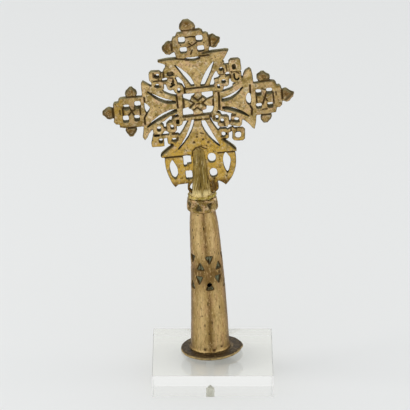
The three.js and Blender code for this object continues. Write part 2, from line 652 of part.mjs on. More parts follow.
function bentForward(solid, [x, z], angle) {
  return solid.translate([-x, 0, -z]).rotate([-angle, 0, 0]).translate([x, 0, z]);
}

// Adds one corner lattice's bodies and cutters to the head's lists.
function addLattice({ hole, loops, links, pits, grooves }, added, cut) {
  loops.forEach((loop, i) => {
    const { at, half, turn, outline, bent } = loop;
    const thick = i % 2 === 0 ? LOOP_THICK + 0.6 : LOOP_THICK;
    const edge = outline || roundedBox(at[0], at[1], half[0], half[1], LOOP_CORNER, turn, 1);
    const placed = (solid) => (bent ? bentForward(solid, at, bent) : solid);
    added.push(placed(slab(wound(edge), thick, EDGE_BEVEL)));
    if (loop.hole) {
      cut.push(placed(cutter(holeOutline(loop.hole, turn))));
    }
  });
  links.forEach((line) => {
    added.push(slab(wound(strap(line, LINK_WIDTH)), LINK_THICK));
  });
  pits.forEach((pit) => {
    cut.push(cutter(holeOutline(pit), true));
  });
  grooves.forEach((line) => {
    cut.push(cutter(strap(line, GROOVE_ACROSS), true));
  });
  cut.push(cutter(holeOutline(hole)));
}

// Cross head, one casting. Drawn in its own frame.
function buildHead() {
  const added = [];
  const cut = [];

  Object.keys(ARMS).forEach((name) => {
    added.push(slab(armOutline(name), ARM_THICK, EDGE_BEVEL));
  });
  SLOTS.forEach((slot) => {
    cut.push(cutter(slotOutline(slot)));
  });

  Object.keys(PODS).forEach((name) => {
    added.push(podSolid(name));
    cut.push(cutter(PODS[name].gap.map(ARM_FRAMES[name])));
  });
  LEAVES.forEach((leaf) => {
    added.push(leafSolid(leaf));
  });

  Object.values(LATTICES).forEach((lattice) => {
    addLattice(lattice, added, cut);
  });

  // The straps that lie over stand a little proud of those that lie under.
  Object.values(FRAME).forEach(({ line, width, curl, hole, sunk }) => {
    added.push(slab(wound(strap(line, width)), OVER_THICK, EDGE_BEVEL));
    const ring = roundedBox(curl[0], curl[1], CURL_RADIUS, CURL_RADIUS, CURL_RADIUS * 0.9, 0, 2);
    added.push(slab(wound(ring), OVER_THICK - 0.3, EDGE_BEVEL));
    cut.push(cutter(holeOutline(hole), sunk));
  });

  added.push(slab(roundedBox(0, 0, CORE_HALF, CORE_HALF, 1, 0, 1), CORE_THICK));
  CORE_BANDS.forEach((band, i) => {
    const thick = CORE_THICK + CORE_BAND_PROUD * (i + 1);
    added.push(slab(wound(strap(band, CORE_BAND_WIDTH)), thick, EDGE_BEVEL));
  });
  CORE_WINDOWS.forEach((window) => {
    cut.push(cutter(window));
  });

  const left = curve(LOOP_LEFT.slice(0, 6), 2)
    .concat(LOOP_LEFT.slice(6), [[-7, 0.719], [-7, -0.09]].map(hung));
  const right = [[0, -0.09], [0, 0.713]].map(hung)
    .concat(LOOP_RIGHT.slice(0, 3), curve(LOOP_RIGHT.slice(3), 2));
  const lower = [
    slab(wound(left), LOOP_PLATE_THICK, EDGE_BEVEL),
    slab(wound(right), LOOP_PLATE_THICK, EDGE_BEVEL),
    slab(TANG, ARM_THICK),
    slab(wound(strap(curve(LUG_LEFT, 2), LUG_WIDTH)), LOOP_PLATE_THICK),
    slab(wound(strap(curve(LUG_RIGHT, 2), LUG_WIDTH + 0.6)), LOOP_PLATE_THICK),
    slab(LUG_WEB, LOOP_PLATE_THICK - 1),
  ];
  LOWER_WINDOWS.forEach((window) => {
    cut.push(cutter(window));
  });

  SEAMS.forEach(({ arm, line }) => {
    cut.push(...seamCutters(line.map(ARM_FRAMES[arm]), ARM_THICK / 2));
  });
  LEAVES.forEach((leaf) => {
    cut.push(...seamCutters(leafNeck(leaf), POD_THICK / 2));
  });

  return joinAll(added.concat(lower)).subtract(joinAll(cut));
}

// Wedge that cuts one triangular chip into a round wall. The chip's floor
// slopes from its base, which is shallow, to its deep middle.
function chip(radius, width, height, depth, pointsUp) {
  const flip = pointsUp ? 1 : -1;
  const triangle = (scale, y) => [
    [0, y, flip * height * 0.62 * scale],
    [-width * 0.5 * scale, y, -flip * height * 0.38 * scale],
    [width * 0.5 * scale, y, -flip * height * 0.38 * scale],
  ];
  const outer = triangle(1 + CHIP_SLOPE * 0.4, -radius - depth * 0.9);
  const inner = triangle(1 - CHIP_SLOPE * 0.45, -radius + depth);
  const points = outer.concat(inner);
  const sides = [[0, 1, 4], [0, 4, 3], [1, 2, 5], [1, 5, 4], [2, 0, 3], [2, 3, 5], [0, 2, 1],
    [3, 4, 5]];
  const positions = [];
  sides.forEach(([a, b, c]) => {
    const face = flip > 0 ? [a, c, b] : [a, b, c];
    face.forEach((k) => positions.push(...points[k]));
  });
  const wedge = new THREE.BufferGeometry();
  wedge.setAttribute('position', new THREE.BufferAttribute(new Float32Array(positions), 3));
  return wedge;
}

function tubeRadius(height) {
  const last = TUBE_PROFILE.length - 1;
  if (height <= TUBE_PROFILE[0][0]) {
    return TUBE_PROFILE[0][1];
  }
  if (height >= TUBE_PROFILE[last][0]) {
    return TUBE_PROFILE[last][1];
  }
  const i = TUBE_PROFILE.findIndex(([z]) => z > height);
  const [z0, r0] = TUBE_PROFILE[i - 1];
  const [z1, r1] = TUBE_PROFILE[i];
  return r0 + ((r1 - r0) * (height - z0)) / (z1 - z0);
}

// The axis of the tube bows a little to the right below the collar.
function bowed(solid) {
  return solid.warp((point) => {
    const t = THREE.MathUtils.clamp(point[2] / COLLAR_BOTTOM, 0, 1);
    point[0] += TUBE_BOW * Math.sin(Math.PI * t);
  });
}

function buildTube() {
  const footRadius = TUBE_PROFILE[0][1];
  const topRadius = TUBE_PROFILE[TUBE_PROFILE.length - 1][1];
  const skirtBottom = FLANGE_THICK + FIT;
  const outside = [
    [0, TUBE_BOTTOM],
    [footRadius, TUBE_BOTTOM],
    [footRadius, skirtBottom],
    [footRadius + TUBE_SKIRT, skirtBottom],
    [footRadius + TUBE_SKIRT * 0.7, skirtBottom + 0.8],
    [footRadius + TUBE_SKIRT * 0.25, skirtBottom + 2],
    ...TUBE_PROFILE.map(([z, r]) => [r, z]),
    [topRadius - 0.2, TUBE_TOP],
    [0, TUBE_TOP],
  ];
  const bore = [
    [0, TUBE_BOTTOM - 1],
    [footRadius - TUBE_WALL, TUBE_BOTTOM - 1],
    ...TUBE_PROFILE.filter((_, i) => i % 2 === 0).map(([z, r]) => [r - TUBE_WALL, z]),
    [topRadius - 0.2 - TUBE_WALL, TUBE_TOP + 1],
    [0, TUBE_TOP + 1],
  ];
  let tube = turned(outside, TUBE_SIDES).subtract(turned(bore, TUBE_SIDES));
  CHIP_ROWS.forEach(({ height, angle, up }) => {
    for (let i = 0; i < CHIP_TURNS; i += 1) {
      const wedge = chip(tubeRadius(height), CHIP_WIDTH, CHIP_HEIGHT, CHIP_DEPTH, up);
      wedge.rotateZ(THREE.MathUtils.degToRad(angle + (i * 360) / CHIP_TURNS));
      wedge.translate(0, 0, height);
      tube = tube.subtract(solidOf(wedge));
    }
  });
  const drill = new THREE.CylinderGeometry(PIERCED_RADIUS, PIERCED_RADIUS, TUBE_WALL * 4, 12);
  drill.translate(0, -tubeRadius(PIERCED_HEIGHT), 0);
  drill.rotateZ(THREE.MathUtils.degToRad(PIERCED_ANGLE));
  drill.translate(0, 0, PIERCED_HEIGHT);
  return bowed(tube.subtract(solidOf(drill)));
}

function buildFlange() {
  const outline = [];
  for (let i = 0; i < FLANGE_SIDES; i += 1) {
    const a = (i / FLANGE_SIDES) * Math.PI * 2;
    const point = FLANGE_POINT * Math.exp(-((a / 0.3) ** 2));
    const wave = 0.25 * Math.sin(3 * a + 0.6);
    const r = FLANGE_RADIUS + point + wave;
    outline.push(new THREE.Vector2(FLANGE_OFFSET + r * Math.cos(a), r * Math.sin(a)));
  }
  const disc = new THREE.ExtrudeGeometry(new THREE.Shape(outline), {
    depth: FLANGE_THICK - 2 * FLANGE_BEVEL,
    bevelThickness: FLANGE_BEVEL,
    bevelSize: FLANGE_BEVEL,
    bevelOffset: -FLANGE_BEVEL,
    bevelSegments: 1,
  });
  disc.translate(0, 0, FLANGE_BEVEL);
  const seat = TUBE_PROFILE[0][1] + FIT;
  const hole = turned([[0, -1], [seat, -1], [seat, FLANGE_THICK + 1], [0, FLANGE_THICK + 1]],
    TUBE_SIDES);
  return solidOf(disc).subtract(hole);
}

function buildCollar() {
  const bore = TUBE_PROFILE[TUBE_PROFILE.length - 1][1] + FIT;
  const outside = [
    [0, COLLAR_BOTTOM],
    [COLLAR_RADIUS - COLLAR_BEVEL, COLLAR_BOTTOM],
    [COLLAR_RADIUS, COLLAR_BOTTOM + COLLAR_BEVEL],
    [COLLAR_RADIUS, COLLAR_BOTTOM + 5],
    [COLLAR_TOP_RADIUS, COLLAR_TOP - 0.5],
    [COLLAR_TOP_RADIUS - 0.6, COLLAR_TOP],
    [0, COLLAR_TOP],
  ];
  const hole = [[0, COLLAR_BOTTOM - 1], [bore, COLLAR_BOTTOM - 1], [bore, COLLAR_TOP + 1],
    [0, COLLAR_TOP + 1]];
  let ring = turned(outside, COLLAR_SIDES).subtract(turned(hole, TUBE_SIDES));
  for (let i = 0; i < COLLAR_CHIPS; i += 1) {
    const up = i % 2 === 0;
    const wedge = chip(COLLAR_RADIUS, COLLAR_CHIP_WIDTH, COLLAR_CHIP_HEIGHT, CHIP_DEPTH, up);
    wedge.rotateZ(THREE.MathUtils.degToRad(COLLAR_CHIP_ANGLE + (i * 360) / COLLAR_CHIPS));
    wedge.translate(0, 0, (COLLAR_BOTTOM + COLLAR_TOP) / 2 + (up ? -0.8 : 0.8));
    ring = ring.subtract(solidOf(wedge));
  }
  return ring;
}

function buildBraze() {
  const bore = SHOULDER_RADIUS + FIT;
  const middle = (BRAZE_BOTTOM + BRAZE_TOP) / 2;
  const rim = turned([
    [0, BRAZE_BOTTOM], [BRAZE_RADIUS - 0.3, BRAZE_BOTTOM], [BRAZE_RADIUS, middle],
    [BRAZE_RADIUS - 0.7, BRAZE_TOP], [0, BRAZE_TOP],
  ], BRAZE_SIDES).warp((point) => {
    const a = Math.atan2(point[1], point[0]);
    const r = Math.hypot(point[0], point[1]);
    if (r > 1) {
      const lump = BRAZE_LUMP * (Math.sin(5 * a + 1) + 0.7 * Math.sin(11 * a));
      point[0] *= (r + lump) / r;
      point[1] *= (r + lump) / r;
      point[2] += point[2] > middle ? -0.3 + 0.3 * Math.sin(7 * a + 2) : 0;
    }
  });
  const hole = turned([[0, BRAZE_BOTTOM - 1], [bore, BRAZE_BOTTOM - 1], [bore, BRAZE_TOP + 1],
    [0, BRAZE_TOP + 1]], BRAZE_SIDES);
  return rim.subtract(hole);
}

// Both tongues taper and round over at the top. Grooves run up the front one.
function buildNeck() {
  const plug = turned([
    [0, PLUG_BOTTOM], [PLUG_RADIUS - 0.6, PLUG_BOTTOM], [PLUG_RADIUS, PLUG_BOTTOM + 0.6],
    [PLUG_RADIUS, TUBE_TOP + FIT], [SHOULDER_RADIUS, TUBE_TOP + FIT],
    [SHOULDER_RADIUS, SHOULDER_TOP - 1], [SHOULDER_RADIUS - 1.2, SHOULDER_TOP], [0, SHOULDER_TOP],
  ], BRAZE_SIDES);
  const sections = [[0, 1.02], [0.06, 1], [0.86, 1], [0.95, 0.84], [0.985, 0.6], [1, 0.3]];
  const low = SHOULDER_TOP - 1.5;
  const around = 22;
  const positions = [];
  const ring = ([t, swell]) => {
    const halfX = THREE.MathUtils.lerp(TONGUE_BASE_HALF, TONGUE_TOP_HALF, t) * swell;
    const halfY = THREE.MathUtils.lerp(TONGUE_BASE_RISE, TONGUE_TOP_RISE, t) * swell;
    const z = THREE.MathUtils.lerp(low, TONGUE_TOP, t);
    const points = [];
    for (let i = 0; i < around; i += 1) {
      const a = (i / around) * Math.PI * 2;
      points.push([TONGUE_SHIFT * t * 2 + halfX * Math.cos(a), halfY * Math.sin(a), z]);
    }
    return points;
  };
  const rings = sections.map(ring);
  for (let k = 0; k + 1 < rings.length; k += 1) {
    for (let i = 0; i < around; i += 1) {
      const j = (i + 1) % around;
      positions.push(...rings[k][i], ...rings[k][j], ...rings[k + 1][j]);
      positions.push(...rings[k][i], ...rings[k + 1][j], ...rings[k + 1][i]);
    }
  }
  [[rings[0], false], [rings[rings.length - 1], true]].forEach(([points, top]) => {
    for (let i = 1; i + 1 < around; i += 1) {
      const fan = top ? [points[0], points[i], points[i + 1]] : [points[0], points[i + 1], points[i]];
      positions.push(...fan.flat());
    }
  });
  const body = new THREE.BufferGeometry();
  body.setAttribute('position', new THREE.BufferAttribute(new Float32Array(positions), 3));
  let tongues = solidOf(body);

  const grooveAngles = [-52, -26, 0, 26, 52];
  grooveAngles.forEach((angle, i) => {
    const a = THREE.MathUtils.degToRad(angle - 90);
    const at = (t) => {
      const halfX = THREE.MathUtils.lerp(TONGUE_BASE_HALF, TONGUE_TOP_HALF, t);
      const halfY = THREE.MathUtils.lerp(TONGUE_BASE_RISE, TONGUE_TOP_RISE, t);
      return new THREE.Vector3(
        TONGUE_SHIFT * t * 2 + halfX * Math.cos(a),
        halfY * Math.sin(a),
        THREE.MathUtils.lerp(low, TONGUE_TOP, t),
      );
    };
    const start = at(0.16 + 0.05 * (i % 2));
    const end = at(0.9 - 0.05 * (i % 2));
    const along = end.clone().sub(start);
    const groove = new THREE.CylinderGeometry(GROOVE_DEPTH, GROOVE_DEPTH, along.length(), 6);
    groove.scale(GROOVE_WIDTH / (2 * GROOVE_DEPTH), 1, 1);
    groove.applyQuaternion(new THREE.Quaternion().setFromUnitVectors(
      new THREE.Vector3(0, 1, 0),
      along.clone().normalize(),
    ));
    groove.translate(...start.add(end).multiplyScalar(0.5).toArray());
    tongues = tongues.subtract(solidOf(groove));
  });
  return plug.add(tongues);
}

function buildBlock() {
  const half = BLOCK_SIDE / 2;
  const outline = [[-half, -half], [half, -half], [half, half], [-half, half]];
  const shape = new THREE.Shape(outline.map(([x, y]) => new THREE.Vector2(x, y)));
  const body = new THREE.ExtrudeGeometry(shape, {
    depth: BLOCK_HEIGHT - 2 * BLOCK_EDGE,
    bevelThickness: BLOCK_EDGE,
    bevelSize: BLOCK_EDGE,
    bevelOffset: -BLOCK_EDGE,
    bevelSegments: 1,
  });
  body.translate(0, 0, BLOCK_EDGE);
  const wall = ROD_RADIUS + FIT;
  const floor = BLOCK_HEIGHT - HOLE_DEPTH;
  const hole = turned([[0, floor - HOLE_POINT], [wall * 0.45, floor - HOLE_POINT * 0.42],
    [wall, floor], [wall, BLOCK_HEIGHT + 1], [0, BLOCK_HEIGHT + 1]], HOLE_SIDES)
    .translate([HOLE_X, HOLE_Y, 0]);
  return solidOf(body).subtract(hole);
}

function buildRod() {
  const low = BLOCK_HEIGHT - ROD_SUNK;
  const high = BLOCK_HEIGHT + ROD_FREE;
  return turned([
    [0, low], [ROD_RADIUS - ROD_CHAMFER, low], [ROD_RADIUS, low + ROD_CHAMFER],
    [ROD_RADIUS, high - ROD_CHAMFER], [ROD_RADIUS - ROD_CHAMFER, high], [0, high],
  ], ROD_SIDES).translate([HOLE_X, HOLE_Y, 0]);
}

// The foot rests on its left edge, just clear of the block.
const footDrop = (FLANGE_RADIUS - FLANGE_OFFSET) * Math.sin(LEAN);
const shaftFrame = new THREE.Matrix4()
  .makeTranslation(HOLE_X, HOLE_Y, BLOCK_HEIGHT + FIT + footDrop)
  .multiply(new THREE.Matrix4().makeRotationY(-LEAN));
const headMiddle = new THREE.Vector3(HEAD_SHIFT, 0, HEAD_HEIGHT).applyMatrix4(shaftFrame);
const headFrame = new THREE.Matrix4()
  .makeTranslation(headMiddle.x, headMiddle.y, headMiddle.z)
  .multiply(new THREE.Matrix4().makeRotationY(-HEAD_LEAN));

const headSolid = solidOf(geometryOf(buildHead()).applyMatrix4(headFrame));

// The neck is slotted to the head's thickness with room on both sides.
const slotHalf = ARM_THICK / 2 + FIT;
const slotFloor = SHOULDER_TOP - 0.6;
const slotHeight = 2 * TONGUE_LENGTH;
const slotBox = new THREE.BoxGeometry(4 * SHOULDER_RADIUS, slotHalf * 2, slotHeight);
slotBox.translate(0, 0, slotFloor + slotHeight / 2);
const neckSolid = buildNeck().subtract(solidOf(slotBox));

const group = new THREE.Group();
group.name = 'hand_cross_on_block';

function piece(name, geometry, color, roughness, metalness, extra = {}) {
  const material = new THREE.MeshStandardMaterial({ color, roughness, metalness, ...extra });
  const mesh = new THREE.Mesh(geometry, material);
  mesh.name = name;
  group.add(mesh);
}

const inShaft = (solid) => geometryOf(solid).applyMatrix4(shaftFrame);

piece('acrylic_block', geometryOf(buildBlock()), CLEAR, 0.06, 0, { transparent: true, opacity: 0.35 });
piece('support_rod', geometryOf(buildRod()), ROD_STEEL, 0.35, 1);
piece('foot_flange', inShaft(buildFlange()), FLANGE_BRASS, 0.6, 1);
piece('socket_tube', inShaft(buildTube()), BRASS, 0.45, 1);
piece('collar_ring', inShaft(buildCollar()), BRASS, 0.5, 1);
piece('braze_ring', inShaft(buildBraze()), BRAZE_BRASS, 0.55, 1);
piece('neck_fork', inShaft(neckSolid), NECK_BRASS, 0.5, 1);
piece('cross_head', geometryOf(headSolid), BRASS, 0.45, 1);

export default group;
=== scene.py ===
"""A cast brass hand cross with an openwork head, standing on a clear block."""

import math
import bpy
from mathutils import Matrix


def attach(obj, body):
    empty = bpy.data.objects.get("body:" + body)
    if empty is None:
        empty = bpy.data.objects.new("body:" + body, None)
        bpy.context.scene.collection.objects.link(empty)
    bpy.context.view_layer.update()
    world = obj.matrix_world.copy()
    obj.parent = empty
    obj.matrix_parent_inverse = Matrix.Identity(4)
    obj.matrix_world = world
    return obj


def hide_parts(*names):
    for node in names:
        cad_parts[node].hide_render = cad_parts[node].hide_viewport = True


bl_info = {
    "name": "Cast Hand Cross",
    "version": (1, 0, 0),
    "blender": (4, 5, 0),
    "location": "View3D > Sidebar > Hand Cross",
    "description": "Builds a cast brass hand cross that stands on a clear block",
    "category": "Object",
}

import bpy
import numpy as np
from mathutils import Matrix, Vector

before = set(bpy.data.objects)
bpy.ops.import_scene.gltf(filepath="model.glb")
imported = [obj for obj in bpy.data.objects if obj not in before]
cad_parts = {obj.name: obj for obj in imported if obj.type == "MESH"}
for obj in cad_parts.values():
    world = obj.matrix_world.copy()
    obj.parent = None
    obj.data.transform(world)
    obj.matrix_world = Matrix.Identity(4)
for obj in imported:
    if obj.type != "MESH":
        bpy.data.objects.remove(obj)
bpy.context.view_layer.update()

MM = 0.001

# Clear block, the blind hole drilled into its top, and the rod that stands in it.
BLOCK_SIDE = 101.6 * MM
BLOCK_HEIGHT = 19.05 * MM
BLOCK_EDGE = 0.12 * MM
HOLE_PLACE = Vector((-2.0, 3.3, 0.0)) * MM
HOLE_RADIUS = 3.475 * MM
HOLE_DEPTH = 11.6 * MM
HOLE_POINT = 3.4 * MM
HOLE_SIDES = 64
ROD_RADIUS = 3.175 * MM
ROD_LOW = 7.75 * MM
ROD_HIGH = 137.05 * MM
ROD_EDGE = 0.5 * MM
ROD_SIDES = 48

# The shaft leans to the left from its foot, and the head a little more.
FOOT_PLACE = Vector((-2.0, 3.3, 20.6148)) * MM
SHAFT_LEAN = math.radians(2.9)
HEAD_LEAN = math.radians(5.7)
HEAD_MIDDLE = Vector((1.3, 0.0, 222.15)) * MM
SHAFT = Matrix.Translation(FOOT_PLACE) @ Matrix.Rotation(-SHAFT_LEAN, 4, "Y")
HEAD = Matrix.Translation(SHAFT @ HEAD_MIDDLE) @ Matrix.Rotation(-HEAD_LEAN, 4, "Y")

# How each brass piece is cast and filed: its grain, rounds of smoothing, the size of its
# waves in millimetres, their height as a share of the usual, and where their pattern starts.
SKINS = {
    "foot_flange": ("small_grain", 3, 3.5, 1.4, 0.2),
    "socket_tube": ("shaft_grain", 2, 6.0, 1.0, 0.5),
    "collar_ring": ("small_grain", 2, 4.0, 1.0, 0.9),
    "braze_ring": ("small_grain", 2, 2.2, 2.5, 1.3),
    "neck_fork": ("small_grain", 2, 3.0, 1.5, 1.7),
    "cross_head": ("head_grain", 1, 4.5, 1.6, 2.1),
}
MERGE_GAP = 0.01 * MM
MOST_TRIANGLES = 190000
# Points marked more than this as worked keep their triangles.
WORKED = 0.15

# Sizes and tables of the brass pieces, down to the camera, are in millimetres, in the
# shaft's or the head's own leaning space.
# Flange: set a little off the tube's axis. It is brown for this far in from its rim, and a
# dark line runs just inside the rim.
FLANGE_RADIUS = 26.0
FLANGE_OFFSET = 1.0
FLANGE_FACE = 8.0
FLANGE_LINE = 1.6
FLANGE_LINE_SPREAD = 0.7

# Tube: outer radius up its height, how far its middle bows to the right, and the heights
# and depths between which a place is a chip.
TUBE_PROFILE = (
    (8.6, 16.3), (30.6, 15.5), (56.6, 14.55), (91.6, 13.1), (112.6, 12.2), (120.6, 11.4),
    (126.6, 10.6),
)
TUBE_BOW = 1.1
TUBE_CHIPS = (50, 95)
CHIP_DEPTHS = (0.3, 0.9)
# Skin there that faces outwards less than this is a chip's wall, and less than the second
# number it is inside the bore.
CHIP_WALL = 0.93
BORE_WALL = -0.2
# Streaks down the tube: place across it as a share of its radius, and spread. A painted
# dark reflection runs up its middle and painted shade towards its sides, with painted
# highlights between. Round its chips, about these heights, it is brown, and dull where the
# painted highlights fade.
PAINTED_DARK_REFLECTION = (0.05, 0.13)
PAINTED_SHADE_SIDES = (0.8, 0.98)
LEFT_PAINTED_HIGHLIGHT = (-0.45, 0.25)
RIGHT_PAINTED_HIGHLIGHT = (0.45, 0.2)
BROWN_BAND = (73, 13)
DULL_BAND = (74, 16)

# Collar: chips lie between these heights above its bottom and between these radii.
COLLAR_BOTTOM = 127.6
COLLAR_CHIPS = (1.3, 10)
COLLAR_CHIP_RADII = (11.3, 12.2)

# Neck: bright from this height down, and above it dark up its middle, this wide.
NECK_BRIGHT = 148.0
NECK_STREAK = 3

# Head: half its thickness, then its yellow stain and brown tarnish. The lower stain and the
# foot's tarnish start this far below the middle and are full at the second number. The
# left pod's stain has a place across and a spread. The paws' tarnish starts this far out,
# and the upper paw counts as this much further out than it is.
HEAD_HALF = 2.9
LOWER_STAIN = (22, 34)
FOOT_TARNISH = (66, 70)
POD_STAIN = (-68, 6)
PAW_TARNISH = (45, 49)
PAW_RISE = 6

# A cut falls off softly: its spread as a share of a cut's width or a pit's radius, and
# after how many spreads it ends. Skin that faces forward less than this is cut less.
CUT_SPREAD = 0.5
PIT_SPREAD = 0.7
SPREADS = 3
FRONT_FACING = 0.5
# Lower walls of openings lie this near their line and at most this far above it, and are
# lifted in full where they face up at least this much.
WALL_REACH = 3.2
WALL_ABOVE = 0.4
UP_FACING = 0.4

# Cuts worked into the head's front face after casting, in its own millimetres:
# width, depth and the points along the cut.
HEAD_CUTS = (
    # Frame round the middle, and the small cross inside it.
    (1.5, 0.8, ((-17.3, 8), (-17.4, 3), (-17.3, -2))),
    (1.2, 0.7, ((-12.1, 5), (-12.1, -3))),
    (1.3, 0.8, ((-9, 13.8), (0, 13.9), (8, 14.1), (14, 14))),
    (1.3, 0.8, ((-10.2, 10), (-10.2, 15.6))),
    (1.5, 0.8, ((17.5, 8), (17.6, 3), (17, -7))),
    (1.2, 0.7, ((12.4, 2.2), (12.2, -3.4))),
    (1.2, 0.7, ((-14, -10.2), (-6, -10.4), (8, -9.8))),
    (1.2, 0.7, ((-5, -14.3), (1, -14.3))),
    (1.2, 0.7, ((4, -14.2), (7, -14.4))),
    (1.4, 0.8, ((8.8, -10), (8.8, -15))),
    (1.2, 0.8, ((-7.6, 3.6), (-3.4, 0.4), (-7.4, -3))),
    (1.2, 0.8, ((7.4, 3.4), (3.2, -0.2), (7, -3.6))),
    (1.2, 0.8, ((-4.2, 6.4), (-0.2, 2.6), (4, 6))),
    (1.2, 0.8, ((-5, -5.5), (-1.5, -3.6), (2, -6.5))),
    (1.1, 0.8, ((-1.6, -0.2), (1.2, 0))),
    # Left pod and its leaves.
    (1.2, 0.7, ((-44.2, 9.8), (-44.2, 5.6))),
    (1.4, 0.8, ((-43.3, -4.4), (-45.6, -8), (-45.8, -14))),
    (1.3, 0.7, ((-60, 11.2), (-47, 11.2))),
    (1.5, 0.8, ((-62.9, 2.4), (-62.9, -4.2))),
    (1.1, 0.6, ((-65.4, 0.4), (-65.4, -3.2))),
    (1.3, 0.8, ((-57.4, 2.2), (-54, -5))),
    (1.3, 0.8, ((-53, 2), (-52.6, 0), (-56.5, -2.5), (-58.6, -4.6))),
    (1.1, 0.7, ((-48.6, 0.4), (-48.6, -5))),
    (1.6, 0.9, ((-71.2, 3), (-71.2, -5.6))),
    (1.3, 0.7, ((-60, -16), (-54, -16))),
    # Right pod and its leaves.
    (1.5, 0.8, ((44, 12), (43.5, 4.4))),
    (1.5, 0.8, ((42.5, -6), (43.8, -9), (43, -14))),
    (1.3, 0.8, ((52, 14.2), (62, 14.2))),
    (1.1, 0.6, ((53.5, 7.8), (56.5, 6.4))),
    (1.1, 0.7, ((48.3, 2), (48.3, -4))),
    (1.4, 0.9, ((56.7, 3.6), (55.3, 0), (53, -5.5))),
    (1.0, 0.6, ((55.3, 0), (57.2, -3.4))),
    (1.2, 0.7, ((62.3, 4), (62.3, -6))),
    (1.1, 0.6, ((64.8, 4), (64.8, 1))),
    (1.1, 0.6, ((52.4, -10.2), (56.4, -10.2))),
    (1.5, 0.8, ((69.6, 4.5), (69.6, -2.6))),
    (1.3, 0.7, ((51, -15.2), (58.5, -15.2))),
    # Top pod and its leaves.
    (1.5, 0.8, ((-7.5, 64.2), (5, 64.2), (8, 65))),
    (1.4, 0.8, ((-17.2, 54), (-17.2, 48))),
    (1.4, 0.8, ((14.6, 56), (14.6, 49))),
    (1.0, 0.6, ((-4, 49.7), (0, 51), (3.8, 53.4))),
    (1.0, 0.6, ((-2.6, 53.2), (-0.8, 51.4))),
    (1.1, 0.6, ((-5, 58.3), (-1, 58.8), (3, 58.3))),
    (1.1, 0.6, ((-0.5, 47), (-2, 43.5))),
    (1.4, 0.8, ((-14.4, 40.6), (-7, 39.4))),
    (1.4, 0.8, ((4.6, 41.2), (12.8, 41.4))),
    (1.1, 0.6, ((-7, 38.6), (0, 38.2), (5, 39))),
    # Corner lattices.
    (1.2, 0.8, ((-26.3, 29.5), (-26.3, 24.8))),
    (1.2, 0.9, ((-19, 22), (-19, 20))),
    (1.1, 0.8, ((-21.8, 16.4), (-18, 18.6))),
    (1.3, 0.8, ((24.7, -24.2), (24.7, -28))),
    (1.2, 0.8, ((-39.6, -24), (-34.6, -24.4))),
    # Round the holes of the upper left lattice.
    (1.3, 0.8, ((-34.6, 30), (-34.8, 26.6), (-32, 25.4), (-28.8, 26.2), (-28.4, 29.4))),
    (1.1, 0.8, ((-35, 22.8), (-31, 22.9), (-26, 22.4))),
    (1.0, 0.6, ((-31, 22.8), (-30.8, 25))),
    (1.2, 0.7, ((-22.4, 24.6), (-19, 24.2), (-18.4, 21), (-19.6, 17.8), (-21.6, 17.2))),
    (1.2, 0.7, ((-30.4, 13.2), (-28.8, 12.4))),
    (1.1, 0.7, ((-34.6, 18.4), (-32, 17.3), (-29.4, 17.7))),
    # Upper right lattice.
    (1.3, 0.8, ((20.4, 28), (23.4, 28.2), (23.6, 24.6))),
    (1.3, 0.7, ((26, 30.6), (26.4, 26))),
    (1.2, 0.8, ((24.8, 23), (28.4, 22.2), (28.6, 19.8))),
    (1.2, 0.8, ((18.8, 23.2), (23.4, 23.4))),
    (1.2, 0.8, ((21.4, 17), (24, 16.8))),
    (1.2, 0.6, ((29.6, 24.6), (33.6, 24.8), (36, 22.8))),
    # Lower left lattice.
    (1.4, 0.8, ((-22.6, -10.4), (-22, -9.4), (-17.6, -9.2))),
    (1.4, 0.8, ((-26.8, -13.8), (-25, -12.4))),
    (1.3, 0.8, ((-23, -18.4), (-22.6, -20))),
    (1.6, 0.9, ((-23.8, -24.6), (-20.6, -24.6))),
    (1.4, 0.9, ((-25, -30.6), (-23, -31.6), (-20.4, -30.4), (-20.2, -28.4))),
    (1.2, 0.8, ((-28.8, -17), (-28.8, -19.6))),
    # Lower right lattice.
    (1.3, 0.8, ((11.6, -15), (11.8, -12))),
    (1.3, 0.8, ((14.6, -9), (17, -8.6))),
    (2.2, 0.8, ((20.6, -12.6), (23, -12.9))),
    (1.3, 0.8, ((16, -18), (19.4, -18.4), (20, -21.8))),
    (1.9, 1.0, ((24.4, -17), (27.4, -18.4), (31.6, -19.2))),
    (1.5, 0.8, ((26.8, -13.6), (29.4, -13))),
    (1.4, 0.8, ((16, -30.9), (18.6, -30.7))),
    (1.2, 0.7, ((20.5, -28), (21, -29.4))),
    # Foot of the lower arm, round the neck, and the loops beside it.
    (1.1, 0.6, ((-9.6, -46), (-8.8, -41), (-5.6, -38.4), (-1.6, -38.2), (2.4, -40.2))),
    (1.1, 0.6, ((-1, -25.8), (1.6, -26.6))),
    (1.5, 0.9, ((-32.4, -45), (-18, -45), (-12, -44.6))),
    (1.3, 0.7, ((12, -45), (26, -45))),
)
# Low mounds of braze round the top of the neck: place, radius and height.
BRAZE_LUMPS = (
    (-9.6, -36.4, 4.0, 0.9), (-3.0, -34.6, 4.4, 1.1), (4.2, -38.8, 3.6, 0.8),
    (-10.8, -42.8, 3.0, 0.8), (0.6, -29.6, 3.4, 0.6), (-5.6, -29.4, 3.2, 0.5),
)
